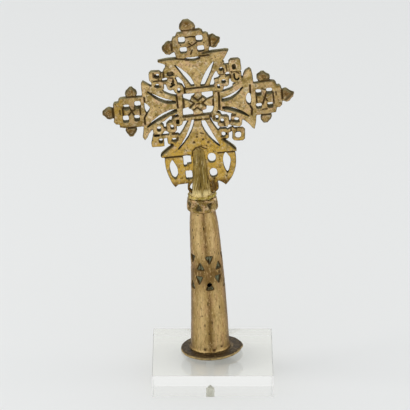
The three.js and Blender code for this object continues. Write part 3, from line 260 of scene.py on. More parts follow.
# Edges that were filed back by hand, in the same form as the cuts.
HEAD_CHAMFERS = (
    (2.8, 2.2, ((-37, -43.6), (-33.6, -40.2), (-29.6, -37.4), (-25.6, -34.8))),
    (2.8, 2.2, ((26.6, -42), (22.6, -37.6), (18.2, -33.8))),
    (2.0, 1.2, ((-30, 40.2), (-22, 41), (-15, 41))),
    (2.0, 1.2, ((29.3, 44), (26, 44.6), (15, 44.2), (8, 43.4))),
    # Rims of the leaves: top, left and right paw.
    (2.2, 0.9, ((-9, 68.2), (-6.8, 73), (-3.5, 75), (0.8, 73), (3.6, 69))),
    (2.0, 0.8, ((-25, 51), (-21.5, 56.6), (-19, 56))),
    (1.6, 0.7, ((-25, 50.4), (-21, 46.4))),
    (1.8, 0.8, ((15, 57), (17.6, 59.2), (22.4, 54.6), (17.2, 48.6))),
    (2.0, 0.8, ((-73, 4.2), (-75.4, 4.4), (-79.8, -0.3), (-75.5, -6.2), (-73, -5.6))),
    (2.2, 0.9, ((-59.2, 15.6), (-54.5, 21), (-49.9, 15.2))),
    (1.6, 0.7, ((-62.6, -18.4), (-58, -22.6), (-53, -17.8))),
    (2.8, 1.0, ((70.6, 7.2), (73.2, 7.6), (78.6, 1.2), (72.4, -4))),
    (2.2, 0.9, ((50.4, 19.8), (54.5, 23.6), (60.8, 18.6))),
    # Upper rims of the pods.
    (1.6, 0.6, ((-70.6, 4), (-70.4, 8.4), (-66, 9), (-65, 12.2), (-60, 12.8))),
    (1.4, 0.5, ((-67, -13.8), (-60, -15.4), (-55, -15.4))),
    (1.6, 0.6, ((56, 15.6), (63, 15.4), (65, 12.4), (66, 10.4), (69, 10.2), (69.6, 7))),
    (1.6, 0.6, ((2, 65.8), (8, 65.6), (9.8, 62.4), (13, 62), (14, 57.4))),
    (1.4, 0.5, ((-16.6, 56), (-15.4, 61), (-12, 64))),
)
# Places where the outline is drawn out or pressed in: place, reach and way to go.
HEAD_PUSHES = (
    # Leaves of the top paw.
    (-24.6, 55.4, 2.0, 0.8, -0.7), (-18.2, 57.6, 1.5, -0.3, -1.3), (-24.4, 47.6, 1.8, 0.6, 0.5),
    (21.0, 58.3, 2.2, -0.8, -0.9), (21.2, 50.6, 2.1, -0.8, 0.6), (22.7, 54.6, 1.2, 0.4, 0.0),
    # Leaves of the left paw.
    (-78.4, 3.2, 2.4, 0.4, -0.4), (-78.6, -4.4, 2.4, 0.4, 0.5), (-57.9, 19.6, 2.6, 0.6, -0.6),
    (-51.0, 19.4, 2.6, -0.6, -0.6), (-54.4, 21.4, 1.2, 0.0, 0.3),
    (-61.4, -21.4, 2.8, 0.5, 0.5), (-54.2, -21.6, 2.8, -0.5, 0.5),
    # Leaves of the right paw.
    (77.3, 5.2, 2.8, -0.9, -1.0), (77.3, -3.0, 2.8, -0.9, 0.8), (79, 1.1, 1.4, 0.5, 0.0),
    (51.8, 23.0, 2.0, 0.5, -0.7), (59.0, 22.4, 2.2, -0.7, -0.8), (50.6, 19.8, 1.5, -0.4, 0.2),
    (60.6, 18.6, 1.5, 0.5, 0.0), (51.2, 16.2, 1.0, 0.7, 0.0),
    # Loop of the lower right lattice.
    (30.0, -29.0, 9.0, 0.2, -1.2),
)
# Middles of the leaves, which are browner than the rest.
LEAVES = (
    (-75, -1), (-54.5, 16.5), (-58, -19), (73.5, 1.5), (55.5, 19.5), (-3, 70), (-21.5, 51.5),
    (18, 54),
)
LEAF_REACH = 5.5
# Lower walls of openings, which rise towards the back: how far at the start and end of
# a line along the opening, and the line.
SLOPED_WALLS = (
    (1.5, 0.6, ((-18.2, 1.9), (-24, 3.2), (-30, 5.8), (-36, 9.6), (-41.2, 14.6))),
    (1.7, 0.7, ((-18.2, -5.7), (-24, -7), (-31, -8.8), (-38, -12.6), (-44.4, -16.8))),
    (1.3, 0.5, ((19.3, -0.3), (25, 0.8), (31, 3.6), (38.2, 11))),
    (2.1, 0.8, ((19.4, -6.9), (26, -7.6), (33, -10), (41, -15.2))),
    (1.6, 1.6, ((-63.4, 2.4), (-56.8, 2.4))), (1.8, 1.8, ((-53.6, 1.4), (-47.2, 1.4))),
    (0.9, 0.9, ((-64.2, -9.2), (-58.2, -9.2))), (1.6, 1.6, ((-54.8, -9.2), (-49, -9.2))),
    (1.8, 1.8, ((47.6, 2.8), (53.2, 2.8))), (1.2, 1.2, ((56.4, 3.8), (62.2, 3.8))),
    (0.8, 0.8, ((47.2, -8.4), (52.6, -8.4))), (1.9, 1.9, ((56.4, -8.6), (61.8, -8.6))),
    (1.0, 1.0, ((-35, 27), (-28.6, 27))), (0.8, 0.8, ((-35, 18.8), (-30, 18.8))),
    (0.9, 0.9, ((19.4, 27.8), (24, 27.8))), (0.8, 0.8, ((24.4, 22.8), (28.6, 22.8))),
    (1.2, 1.2, ((19.6, 17.2), (24.6, 17.2))), (1.2, 1.2, ((-37.6, -19.8), (-32.4, -19.8))),
    (1.0, 1.0, ((-37, -30.4), (-32, -30.4))), (0.8, 0.8, ((-25.6, -30.4), (-21, -30.4))),
    (1.0, 1.0, ((26.6, -17.4), (32.4, -17.4))),
)
# Pits in the same face: place across and up, radius and depth.
HEAD_PITS = (
    (-9.5, 14.7, 0.9, 0.8), (-9.7, 52.2, 0.9, 0.7), (9.7, 52.6, 0.9, 0.7), (3, 49.5, 0.7, 0.6),
    (57, -3.3, 0.7, 0.6), (51.3, 14.7, 0.8, 0.6), (-25.2, -64, 1.6, 0.9), (-20, -64.4, 0.9, 0.7),
    (-14.5, -66.6, 1.1, 0.8), (6.6, -67.4, 1.3, 0.8), (17, -66, 0.9, 0.7), (-14, -53.4, 0.8, 0.6),
    (20, 4.6, 0.7, 0.5), (33.6, -6.2, 0.6, 0.5), (-30.6, 1.2, 0.6, 0.5), (4.6, 27, 0.6, 0.5),
    (-7, -33.6, 1.3, 0.9), (-4.2, -29, 1.1, 0.8), (0.8, -31.6, 1.2, 0.9), (4.6, -34.6, 1.2, 0.8),
    (3, -37.4, 1.1, 0.7), (-1.2, -37.4, 0.9, 0.6), (-13, -38, 0.7, 0.5), (8.4, -43.2, 0.9, 0.6),
    (-1.4, 33, 0.6, 0.5), (8.6, 34.6, 0.6, 0.5), (-36, -6.4, 0.6, 0.5), (27.4, 4.2, 0.5, 0.5),
    (38, -3.4, 0.6, 0.5), (-24.6, -3, 0.6, 0.5), (2.4, -21, 0.6, 0.5), (-3.6, -27, 0.7, 0.5),
)
# Pits up the front of the tube, about its own axis.
TUBE_PITS = (
    (-4, 125.6, 0.9, 0.6), (4.5, 105.6, 0.8, 0.6), (-5, 100.6, 0.8, 0.5), (0, 98, 0.7, 0.5),
    (1.8, 97.6, 0.6, 0.5), (11, 97.6, 0.7, 0.5), (-2, 92.6, 0.7, 0.5), (0.3, 20, 0.9, 0.6),
    (-5, 36, 1.1, 0.5), (-4, 5.6, 1.5, 1.1), (3.6, 4.8, 1.5, 1.1), (10, 7, 1.4, 1.0),
)

# The camera's place was worked out from the clear block's corners.
CAMERA_TARGET = Vector((-0.00649, 0.0, 0.15279))
CAMERA_DISTANCE = 3.2
CAMERA_ELEVATION = math.radians(21.192)
CAMERA_LENS = 336.12
CAMERA_REACH = 60
SENSOR = 36.0

# Air between the block and the floor, which makes a mirror of the block's underside.
FLOOR_GAP = 0.2 * MM
FLOOR_SIDE = 30
# Soft lights: name, place, side and power in watts. They aim at the middle of the cross.
LIGHTS = (
    ("window_light", (-1.6, -0.2, 1.3), 0.9, 7.0),
    ("fill_light", (1.6, 0.0, 0.9), 0.8, 3.0),
)
LIGHT_TARGET = Vector((0, 0, 0.15))


def linear(code):
    """The linear colour of an sRGB hex value."""
    channels = [int(code[i:i + 2], 16) / 255 for i in (1, 3, 5)]
    return [c / 12.92 if c <= 0.04045 else ((c + 0.055) / 1.055) ** 2.4 for c in channels]


def rgba(code):
    return (*linear(code), 1.0)


def add_node(tree, kind, settings=None, sockets=None):
    """Adds a node, gives it its settings and values, and links its sockets."""
    node = tree.nodes.new(kind)
    for key, value in (settings or {}).items():
        setattr(node, key, value)
    for key, value in (sockets or {}).items():
        if isinstance(value, bpy.types.NodeSocket):
            tree.links.new(value, node.inputs[key])
        else:
            node.inputs[key].default_value = value
    return node


def select_only(obj):
    bpy.ops.object.select_all(action="DESELECT")
    obj.select_set(True)
    bpy.context.view_layer.objects.active = obj


def apply_modifier(obj, kind, **settings):
    select_only(obj)
    modifier = obj.modifiers.new(kind, kind)
    for key, value in settings.items():
        setattr(modifier, key, value)
    bpy.ops.object.modifier_apply(modifier=modifier.name)


def copy_of_node(node, name):
    """A copy of a CAD node's mesh as a piece of its own, with its corners merged."""
    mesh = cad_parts[node].data.copy()
    mesh.materials.clear()
    obj = bpy.data.objects.new(name, mesh)
    bpy.context.scene.collection.objects.link(obj)
    select_only(obj)
    bpy.ops.object.mode_set(mode="EDIT")
    bpy.ops.mesh.select_all(action="SELECT")
    bpy.ops.mesh.remove_doubles(threshold=MERGE_GAP)
    bpy.ops.object.mode_set(mode="OBJECT")
    return obj


def hand_worked(obj, size, height, start):
    """Raises and lowers the skin a little, as hand filing and casting leave it."""
    texture = bpy.data.textures.new(obj.name + "_waves", "CLOUDS")
    texture.noise_scale = size
    texture.noise_depth = 2
    texture.cloud_type = "GRAYSCALE"
    offset = Matrix.Translation(Vector((start, -start, 2 * start)))
    obj.data.transform(offset)
    apply_modifier(obj, "DISPLACE", texture=texture, texture_coords="LOCAL",
                   strength=height, mid_level=0.5)
    obj.data.transform(offset.inverted())


def cast_piece(node, name):
    """Turns a copy of a CAD node's plates into one rounded skin with low waves."""
    sizes = bpy.context.scene.hand_cross_sizes
    grain, rounds, wave, share, start = SKINS[node]
    obj = copy_of_node(node, name)
    apply_modifier(obj, "REMESH", mode="VOXEL", voxel_size=getattr(sizes, grain))
    apply_modifier(obj, "SMOOTH", factor=0.5, iterations=rounds)
    hand_worked(obj, wave * MM, sizes.waves * share, start)
    return obj


def thinned(obj, kept):
    """Collapses flat stretches until the piece is light enough, but not the kept points."""
    count = sum(len(face.vertices) - 2 for face in obj.data.polygons)
    if count > MOST_TRIANGLES:
        group = obj.vertex_groups.new(name="kept")
        group.add(np.flatnonzero(kept).tolist(), 1.0, "REPLACE")
        apply_modifier(obj, "DECIMATE", decimate_type="COLLAPSE",
                       ratio=MOST_TRIANGLES / count, vertex_group="kept",
                       invert_vertex_group=True)
        obj.vertex_groups.clear()


def coordinates(obj, space):
    """Vertex places and normals in millimetres, in the piece's own leaning space."""
    mesh = obj.data
    count = len(mesh.vertices)
    places = np.empty(count * 3)
    mesh.vertices.foreach_get("co", places)
    normals = np.empty(count * 3)
    mesh.vertex_normals.foreach_get("vector", normals)
    inverse = np.array(space.inverted())
    turn = inverse[:3, :3]
    local = places.reshape(-1, 3) @ turn.T + inverse[:3, 3]
    return local / MM, normals.reshape(-1, 3) @ turn.T


def put_back(obj, local, space):
    matrix = np.array(space)
    places = (local * MM) @ matrix[:3, :3].T + matrix[:3, 3]
    obj.data.vertices.foreach_set("co", places.ravel())
    obj.data.update()


def store(obj, name, values):
    """Keeps one number at each vertex, for the materials to read."""
    layer = obj.data.attributes.new(name, "FLOAT", "POINT")
    layer.data.foreach_set("value", np.ascontiguousarray(values, dtype=np.float32))


def rise(values, low, high):
    """Goes evenly from nothing at the low value to one at the high value."""
    return np.clip((values - low) / (high - low), 0, 1)


def swell(values, middle, spread):
    """Swells softly to one about a middle value."""
    return np.exp(-((values - middle) / spread) ** 2)


def distance_to_line(points, line):
    """Distance of flat points from a line of flat points."""
    nearest = np.full(len(points), np.inf)
    for start, end in zip(line, line[1:]):
        start = np.array(start, dtype=float)
        along = np.array(end, dtype=float) - start
        share = np.clip((points - start) @ along / max(along @ along, 1e-9), 0, 1)
        gap = points - (start + share[:, None] * along)
        nearest = np.minimum(nearest, np.hypot(gap[:, 0], gap[:, 1]))
    return nearest


def cut_into(local, normals, cuts, pits, way=1):
    """Sinks cuts and pits into a front skin; returns how far in one each point lies."""
    flat = local[:, [0, 2]]
    mark = np.zeros(len(local))
    depth = np.zeros(len(local))
    front = rise(-normals[:, 1], 0, FRONT_FACING) * (local[:, 1] < 0)
    strokes = [(CUT_SPREAD * wide, deep, line) for wide, deep, line in cuts]
    strokes += [(PIT_SPREAD * radius, deep, ((x, z), (x, z))) for x, z, radius, deep in pits]
    for spread, deep, line in strokes:
        points = np.array(line, dtype=float)
        reach = SPREADS * spread
        near = np.all((flat > points.min(0) - reach) & (flat < points.max(0) + reach), axis=1)
        fall = swell(distance_to_line(flat[near], line), 0, spread) * front[near]
        mark[near] = np.maximum(mark[near], fall)
        depth[near] = np.maximum(depth[near], deep * fall)
    local[:, 1] += way * depth
    return mark


def pushed(local, pushes):
    """Moves the skin sideways round a few places, so that the outline follows the photo."""
    for x, z, reach, over, up in pushes:
        gap = (local[:, 0] - x) ** 2 + (local[:, 2] - z) ** 2
        share = np.exp(-gap / reach ** 2)
        local[:, 0] += over * share
        local[:, 2] += up * share


def slope_walls(local, normals, walls):
    """Lifts the back of each opening's lower wall, so that the opening narrows."""
    flat = local[:, [0, 2]]
    inward = rise(local[:, 1], -HEAD_HALF, HEAD_HALF)
    faces_up = rise(normals[:, 2], 0, UP_FACING)
    for first, last, line in walls:
        points = np.array(line, dtype=float)
        order = np.argsort(points[:, 0])
        height = np.interp(flat[:, 0], points[order, 0], points[order, 1])
        inside = (flat[:, 0] > points[:, 0].min()) & (flat[:, 0] < points[:, 0].max())
        near = (distance_to_line(flat, line) < WALL_REACH) & inside
        near &= flat[:, 1] < height + WALL_ABOVE
        along = np.abs(flat[:, 0] - points[0, 0]) / np.ptp(points[:, 0])
        lift = first + (last - first) * along
        local[:, 2] += near * lift * inward * faces_up


def finished(obj, node, body, material):
    """Hands a piece over to its body in place of a CAD node."""
    obj.data.materials.append(material)
    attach(obj, body)
    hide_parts(node)


def smooth_brass(obj, node, material):
    """Smooths a brass piece and hands it over to the cross."""
    select_only(obj)
    bpy.ops.object.shade_smooth()
    finished(obj, node, "cross", material)


def new_material(name):
    material = bpy.data.materials.new(name)
    material.use_nodes = True
    material.node_tree.nodes.clear()
    return material, material.node_tree


# Old cast brass. Tan, olive and rose are the skin's own colours, and the rest lie on it:
# pale where it is rubbed, brown tarnish, painted shade on walls, ochre stain, grey dust with
# painted sky light on walls that face up, green rust, dark dirt with painted shade in closed
# places, the dirt in worked lines, and bare metal with a painted highlight on raised edges.
# Brown and pale also paint shade and highlights down the tube, and pale a highlight on the
# flange's rim. The numbers are how strongly some of these show, how far the dirt and painted
# shade reach in millimetres and how open a place is where they are full, the share of cells
# with a pinhole, the clean skin's finish, and how far the patterns are turned and drawn out
# along the piece.
LOOK = {
    "tan": "#cdae74", "olive": "#978042", "rose": "#d2ab80", "pale": "#fbe6bf",
    "brown": "#6a4a26", "shade": "#564828", "ochre": "#c0a040", "grey": "#8c8663",
    "green": "#71745a", "dark": "#35280f", "line": "#4e350f", "bright": "#e6cb90",
    "rubbed": 0.8, "tarnish": 0.75, "speck": 0.3, "wall": 0.95, "bare": 0.45,
    "reach": 3.0, "closed": 0.45, "pits": 0.4,
    "rough": 0.45, "metal": 0.9, "bump": 0.6,
    "turn": 0.0, "stretch": (1.0, 1.0, 1.0),
}


def cast_brass(name, look):
    """Worn brass: mottled tan, with dirt and painted shade in recesses and on walls, and a
    painted highlight on bare edges.
    """
    material, tree = new_material(name)
    paint = {key: rgba(value) for key, value in look.items() if isinstance(value, str)}
    place = add_node(tree, "ShaderNodeTexCoord").outputs
    pattern = add_node(tree, "ShaderNodeMapping", sockets={
        "Vector": place["Object"],
        "Rotation": (0.0, look["turn"], 0.0),
        "Scale": look["stretch"],
    }).outputs["Vector"]

    # Noise: size in millimetres, where it starts and is full, its top, and its detail.
    noises = {
        # Olive and rose blotches on the tan, and paler places that hands have rubbed.
        "olive": (8, 0.4, 0.6, 1.0, 4.0),
        "rose": (5, 0.5, 0.62, 0.85, 4.0),
        "rubbed": (4, 0.52, 0.68, look["rubbed"], 4.0),
        # Yellow-green stain where the head was brazed to the neck.
        "ochre": (6, 0.34, 0.54, 0.95, 4.0),
        # Flecks of brown tarnish, and what breaks up the marked streaks and sheen, among them the
        # painted shade and highlights down the shaft.
        "tarnish": (2.4, 0.5, 0.64, look["tarnish"], 6.0),
        "streak": (3, 0.25, 0.5, 1.0, 4.0),
        "sheen": (3, 0.3, 0.55, 1.0, 4.0),
        # Dark and pale specks, coarser than the real ones so that they show.
        "dark speck": (0.9, 0.54, 0.68, look["speck"], 2.0),
        "pale speck": (1.2, 0.56, 0.7, look["speck"], 2.0),
        # Grey on the walls that face up, where painted sky light and dust lie, and dirt among the
        # green rust.
        "dust_and_skylight": (9, 0.36, 0.52, 1.0, 4.0),
        "rust": (1.4, 0.42, 0.6, 1.0, 4.0),
        # File marks and grain, drawn coarser than they are so that they show.
        "grain": (0.9, 0.2, 0.8, 1.0, 3.0),
    }
    share = {}
    for key, (size, low, high, top, detail) in noises.items():
        noise = add_node(tree, "ShaderNodeTexNoise", sockets={
            "Vector": pattern, "Scale": 1 / (size * MM), "Detail": detail,
            "Roughness": 0.6, "Distortion": 0.4,
        }).outputs["Fac"]
        share[key] = add_node(tree, "ShaderNodeMapRange", {
            "interpolation_type": "SMOOTHSTEP"}, {
            "Value": noise, "From Min": low, "From Max": high, "To Max": top,
        }).outputs["Result"]

    # Numbers kept at the vertices say where the piece was worked, stained and worn.
    mark = {}
    for key in ("ochre", "streak", "sheen", "filed", "recess", "cut"):
        mark[key] = add_node(tree, "ShaderNodeAttribute", {
            "attribute_name": key}).outputs["Fac"]
    side = add_node(tree, "ShaderNodeSeparateXYZ", sockets={"Vector": place["Normal"]}).outputs
    facing = add_node(tree, "ShaderNodeMath", {"operation": "ABSOLUTE"}, {
        0: side["Y"]}).outputs[0]
    open_air = add_node(tree, "ShaderNodeAmbientOcclusion", {
        "samples": 8, "only_local": True}, {"Distance": look["reach"] * MM}).outputs["AO"]
    ridge = add_node(tree, "ShaderNodeNewGeometry").outputs["Pointiness"]
    cell = add_node(tree, "ShaderNodeTexVoronoi", {"feature": "F1"}, {
        "Vector": pattern, "Scale": 1 / (3 * MM), "Randomness": 1.0}).outputs
    chance = add_node(tree, "ShaderNodeSeparateColor", sockets={
        "Color": cell["Color"]}).outputs["Red"]
    chosen = add_node(tree, "ShaderNodeMath", {"operation": "LESS_THAN"}, {
        0: chance, 1: look["pits"]}).outputs[0]

    # Ramps: what each follows, where it starts and ends, and its share at both.
    ramps = {
        # Walls and bevels, which face away from the front, get painted shade and stay dull; those
        # that face up get painted sky light and dust.
        "wall": (facing, 0.65, 0.97, look["wall"], 0.0),
        # Filed rims get painted shade, the darker the deeper they were filed.
        "filed": (mark["filed"], 0.3, 0.85, 0.0, 0.8),
        # Dirt and painted shade gather where the skin is closed in, and dirt in worked lines.
        "dirt_and_shade": (open_air, look["closed"], 0.96, 0.7, 0.0),
        "line": (mark["cut"], 0.2, 0.9, 0.0, 0.9),
        # Pinholes from the casting, about a millimetre wide.
        "hole": (cell["Distance"], 0.1, 0.22, 1.0, 0.0),
        # Raised edges take the edge colour: bare metal with a painted highlight, and on the head
        # a painted shade.
        "edge": (ridge, 0.53, 0.62, 0.0, look["bare"]),
    }
    for key, (value, low, high, first, last) in ramps.items():
        share[key] = add_node(tree, "ShaderNodeMapRange", sockets={
            "Value": value, "From Min": low, "From Max": high, "To Min": first,
            "To Max": last}).outputs["Result"]

    # Some show only in the places marked for them.
    for key, where in (
        ("ochre", mark["ochre"]), ("streak", mark["streak"]), ("sheen", mark["sheen"]),
        ("dust_and_skylight", side["Z"]), ("hole", chosen),
    ):
        share[key] = add_node(tree, "ShaderNodeMath", {"operation": "MULTIPLY"}, {
            0: where, 1: share[key]}).outputs[0]
    share["recess"] = mark["recess"]
    # The wall colour: painted shade, turned grey by painted sky light and dust where walls face
    # up.
    for key, under, over in (("dust_and_skylight", "shade", "grey"), ("rust", "green", "dark")):
        paint[key] = add_node(tree, "ShaderNodeMix", {"data_type": "RGBA"}, {
            0: share[key], 6: paint[under], 7: paint[over]}).outputs[2]

    # Each is laid over those before it, in the order in which they came to the metal; the wall,
    # dirt and edge layers also paint shade and highlights.
    colour = paint["tan"]
    for key, over in (
        ("olive", "olive"), ("rose", "rose"), ("rubbed", "pale"), ("ochre", "ochre"),
        ("tarnish", "brown"), ("streak", "brown"), ("sheen", "pale"),
        ("dark speck", "brown"), ("pale speck", "pale"), ("wall", "dust_and_skylight"),
        ("filed", "shade"), ("dirt_and_shade", "dark"), ("recess", "rust"), ("line", "line"),
        ("hole", "dark"), ("edge", "bright"),
    ):
        colour = add_node(tree, "ShaderNodeMix", {"data_type": "RGBA"}, {
            0: share[key], 6: colour, 7: paint[over]}).outputs[2]

    # Dirty places and places with painted shade are dull and rough, and hardly look like metal.
    dull = share["dirt_and_shade"]
    for key in ("wall", "recess", "line", "filed"):
        dull = add_node(tree, "ShaderNodeMath", {"operation": "MAXIMUM"}, {
            0: dull, 1: share[key]}).outputs[0]
    finish = {}
    for key, clean, dirty in (
        ("Roughness", look["rough"], 0.85), ("Metallic", look["metal"], 0.1),
        ("Specular IOR Level", 0.5, 0.15),
    ):
        finish[key] = add_node(tree, "ShaderNodeMapRange", sockets={
            "Value": dull, "To Min": clean, "To Max": dirty}).outputs["Result"]

    # The grain stands up to about a tenth of a millimetre high.
    height = add_node(tree, "ShaderNodeMath", {"operation": "SUBTRACT"}, {
        0: share["grain"], 1: share["hole"]}).outputs[0]
    relief = add_node(tree, "ShaderNodeBump", sockets={
        "Strength": look["bump"], "Distance": 0.14 * MM, "Height": height,
    }).outputs["Normal"]
    shader = add_node(tree, "ShaderNodeBsdfPrincipled", sockets={
        "Base Color": colour, "Normal": relief, **finish})
    add_node(tree, "ShaderNodeOutputMaterial", sockets={"Surface": shader.outputs["BSDF"]})
    return material


def clear_acrylic(name, rough, clear, tint):
    """Cast acrylic: clear where it is polished, frosted by the drill inside its hole."""
    material, tree = new_material(name)
    place = add_node(tree, "ShaderNodeTexCoord").outputs["Object"]
    # Fine rub marks, in patches about 14 mm across, dull the polish in places.
    haze = add_node(tree, "ShaderNodeTexNoise", sockets={
        "Vector": place, "Scale": 1 / (14 * MM), "Detail": 6.0, "Roughness": 0.7,
    }).outputs["Fac"]
    haze = add_node(tree, "ShaderNodeMapRange", sockets={
        "Value": haze, "From Min": 0.45, "From Max": 0.75, "To Min": rough,
        "To Max": rough + 0.04,
    }).outputs["Result"]
    body = add_node(tree, "ShaderNodeBsdfPrincipled", sockets={
        "Base Color": rgba(tint), "Roughness": haze, "IOR": 1.49,
        "Transmission Weight": clear,
    })
    # Lamplight passes straight through, so that the floor below stays bright.
    path = add_node(tree, "ShaderNodeLightPath").outputs
    light = add_node(tree, "ShaderNodeMath", {"operation": "MAXIMUM"}, {
        0: path["Is Shadow Ray"], 1: path["Is Diffuse Ray"]}).outputs[0]
    passing = add_node(tree, "ShaderNodeBsdfTransparent", sockets={"Color": rgba("#fefefc")})
    both = add_node(tree, "ShaderNodeMixShader", sockets={
        0: light, 1: body.outputs["BSDF"], 2: passing.outputs["BSDF"]})
    add_node(tree, "ShaderNodeOutputMaterial", sockets={"Surface": both.outputs["Shader"]})
    return material


def drawn_steel():
    """Drawn steel rod: pale grey, with fine lines along its length."""
    material, tree = new_material("drawn_steel")
    place = add_node(tree, "ShaderNodeTexCoord").outputs["Object"]
    # Die lines half a millimetre apart, over thirty times as long as they are wide.
    drawn = add_node(tree, "ShaderNodeMapping", sockets={
        "Vector": place, "Scale": (1.0, 1.0, 0.03)}).outputs["Vector"]
    lines = add_node(tree, "ShaderNodeTexNoise", sockets={
        "Vector": drawn, "Scale": 1 / (0.5 * MM), "Detail": 4.0}).outputs["Fac"]
    colour = add_node(tree, "ShaderNodeMix", {"data_type": "RGBA"}, {
        0: lines, 6: rgba("#a9acac"), 7: rgba("#c8caca")}).outputs[2]
    rough = add_node(tree, "ShaderNodeMapRange", sockets={
        "Value": lines, "To Min": 0.25, "To Max": 0.4}).outputs["Result"]
    shader = add_node(tree, "ShaderNodeBsdfPrincipled", sockets={
        "Base Color": colour, "Metallic": 1.0, "Roughness": rough})
    add_node(tree, "ShaderNodeOutputMaterial", sockets={"Surface": shader.outputs["BSDF"]})
    return material


class HandCrossSizes(bpy.types.PropertyGroup):
    """Sizes of the cast surface that a user may change."""

    head_grain: bpy.props.FloatProperty(
        name="Head grain", description="Finest step of the head's cast skin",
        default=0.36 * MM, unit="LENGTH")
    shaft_grain: bpy.props.FloatProperty(
        name="Shaft grain", description="Finest step of the shaft's cast skin",
        default=0.5 * MM, unit="LENGTH")
    small_grain: bpy.props.FloatProperty(
        name="Small grain", description="Finest step of the flange, collar, braze and neck",
        default=0.4 * MM, unit="LENGTH")
    waves: bpy.props.FloatProperty(
        name="Waves", description="Height of the hand-filed waves in the brass",
        default=0.28 * MM, unit="LENGTH")


class HandCrossColours(bpy.types.PropertyGroup):
    """Colours of the stage that a user may change."""

    floor: bpy.props.FloatVectorProperty(
        name="Floor", description="Colour of the floor", subtype="COLOR", size=3,
        default=linear("#eaebeb"))
    sky: bpy.props.FloatVectorProperty(
        name="Backdrop", description="Colour seen beyond the floor", subtype="COLOR", size=3,
        default=linear("#e6e7e7"))


class HANDCROSS_OT_block(bpy.types.Operator):
    """Adds the clear block with its drilled hole"""

    bl_idname = "hand_cross.block"
    bl_label = "Clear Block"

    def execute(self, context):
        bpy.ops.object.select_all(action="DESELECT")
        bpy.ops.mesh.primitive_cube_add(size=1.0, location=(0, 0, BLOCK_HEIGHT / 2))
        block = context.object
        block.name = "clear_block"
        block.scale = (BLOCK_SIDE, BLOCK_SIDE, BLOCK_HEIGHT)
        bpy.ops.object.transform_apply(location=True, rotation=True, scale=True)
        apply_modifier(block, "BEVEL", width=BLOCK_EDGE, segments=2)

        # The drill is a cylinder whose lower end is drawn out to a point.
        bpy.ops.object.select_all(action="DESELECT")
        bpy.ops.mesh.primitive_cylinder_add(
            vertices=HOLE_SIDES, radius=HOLE_RADIUS, depth=HOLE_DEPTH * 2,
            location=(HOLE_PLACE.x, HOLE_PLACE.y, BLOCK_HEIGHT))
        drill = context.object
        bpy.ops.object.transform_apply(location=True, rotation=True, scale=True)
        bpy.ops.object.mode_set(mode="EDIT")
        bpy.ops.mesh.select_all(action="DESELECT")
        bpy.ops.object.mode_set(mode="OBJECT")
        for face in drill.data.polygons:
            face.select = face.normal.z < -0.9
        bpy.ops.object.mode_set(mode="EDIT")
        bpy.ops.mesh.extrude_region_move(
            TRANSFORM_OT_translate={"value": (0, 0, -HOLE_POINT)})
        bpy.ops.mesh.merge(type="CENTER")
        bpy.ops.object.mode_set(mode="OBJECT")
        apply_modifier(block, "BOOLEAN", operation="DIFFERENCE", object=drill)
        bpy.data.objects.remove(drill)
        select_only(block)
        bpy.ops.object.shade_smooth_by_angle(angle=math.radians(15))
        polished = clear_acrylic("polished_acrylic", 0.01, 1.0, "#fefefc")
        finished(block, "acrylic_block", "stand", polished)

        # The walls of the hole are frosted: all faces within its radius, below the top.
        block.data.materials.append(clear_acrylic("drilled_acrylic", 0.5, 0.1, "#fbfbee"))
        for face in block.data.polygons:
            gap = face.center - HOLE_PLACE
            face.material_index = int(math.hypot(gap.x, gap.y) < HOLE_RADIUS * 1.01
                                      and gap.z < BLOCK_HEIGHT * 0.99)
        return {"FINISHED"}


class HANDCROSS_OT_rod(bpy.types.Operator):
    """Adds the upright rod inside the shaft"""

    bl_idname = "hand_cross.rod"
    bl_label = "Support Rod"

    def execute(self, context):
        bpy.ops.object.select_all(action="DESELECT")
        bpy.ops.mesh.primitive_cylinder_add(
            vertices=ROD_SIDES, radius=ROD_RADIUS, depth=ROD_HIGH - ROD_LOW,
            location=(HOLE_PLACE.x, HOLE_PLACE.y, (ROD_LOW + ROD_HIGH) / 2))
        rod = context.object
        rod.name = "upright_rod"
        bpy.ops.object.transform_apply(location=True, rotation=True, scale=True)
        apply_modifier(rod, "BEVEL", width=ROD_EDGE, segments=3, angle_limit=math.radians(60))
        select_only(rod)
        bpy.ops.object.shade_smooth_by_angle(angle=math.radians(30))
        finished(rod, "support_rod", "rod", drawn_steel())
        return {"FINISHED"}


class HANDCROSS_OT_flange(bpy.types.Operator):
    """Adds the dark ring at the foot of the tube"""

    bl_idname = "hand_cross.flange"
    bl_label = "Foot Flange"

    def execute(self, context):
        flange = cast_piece("foot_flange", "flat_foot_ring")
        local, normals = coordinates(flange, SHAFT)
        radius = np.hypot(local[:, 0] - FLANGE_OFFSET, local[:, 1])
        level = np.abs(normals[:, 2])
        face = FLANGE_RADIUS - FLANGE_FACE
        line = swell(radius, FLANGE_RADIUS - FLANGE_LINE, FLANGE_LINE_SPREAD)
        store(flange, "cut", 0.5 * level * line)
        store(flange, "streak", level * rise(radius, face, face + 1))
        # The upright rim gets a painted highlight, pale where the faces stand upright.
        store(flange, "sheen", np.clip(1.1 - level * 1.4, 0, 1))
        look = dict(LOOK, tan="#7d6b4a", olive="#5f5238", rose="#8d7652", pale="#c9ae76",
                    brown="#3c2f1c", wall=0.0, tarnish=0.8, rough=0.5, metal=0.85)
        smooth_brass(flange, "foot_flange", cast_brass("tarnished_brass", look))
        return {"FINISHED"}


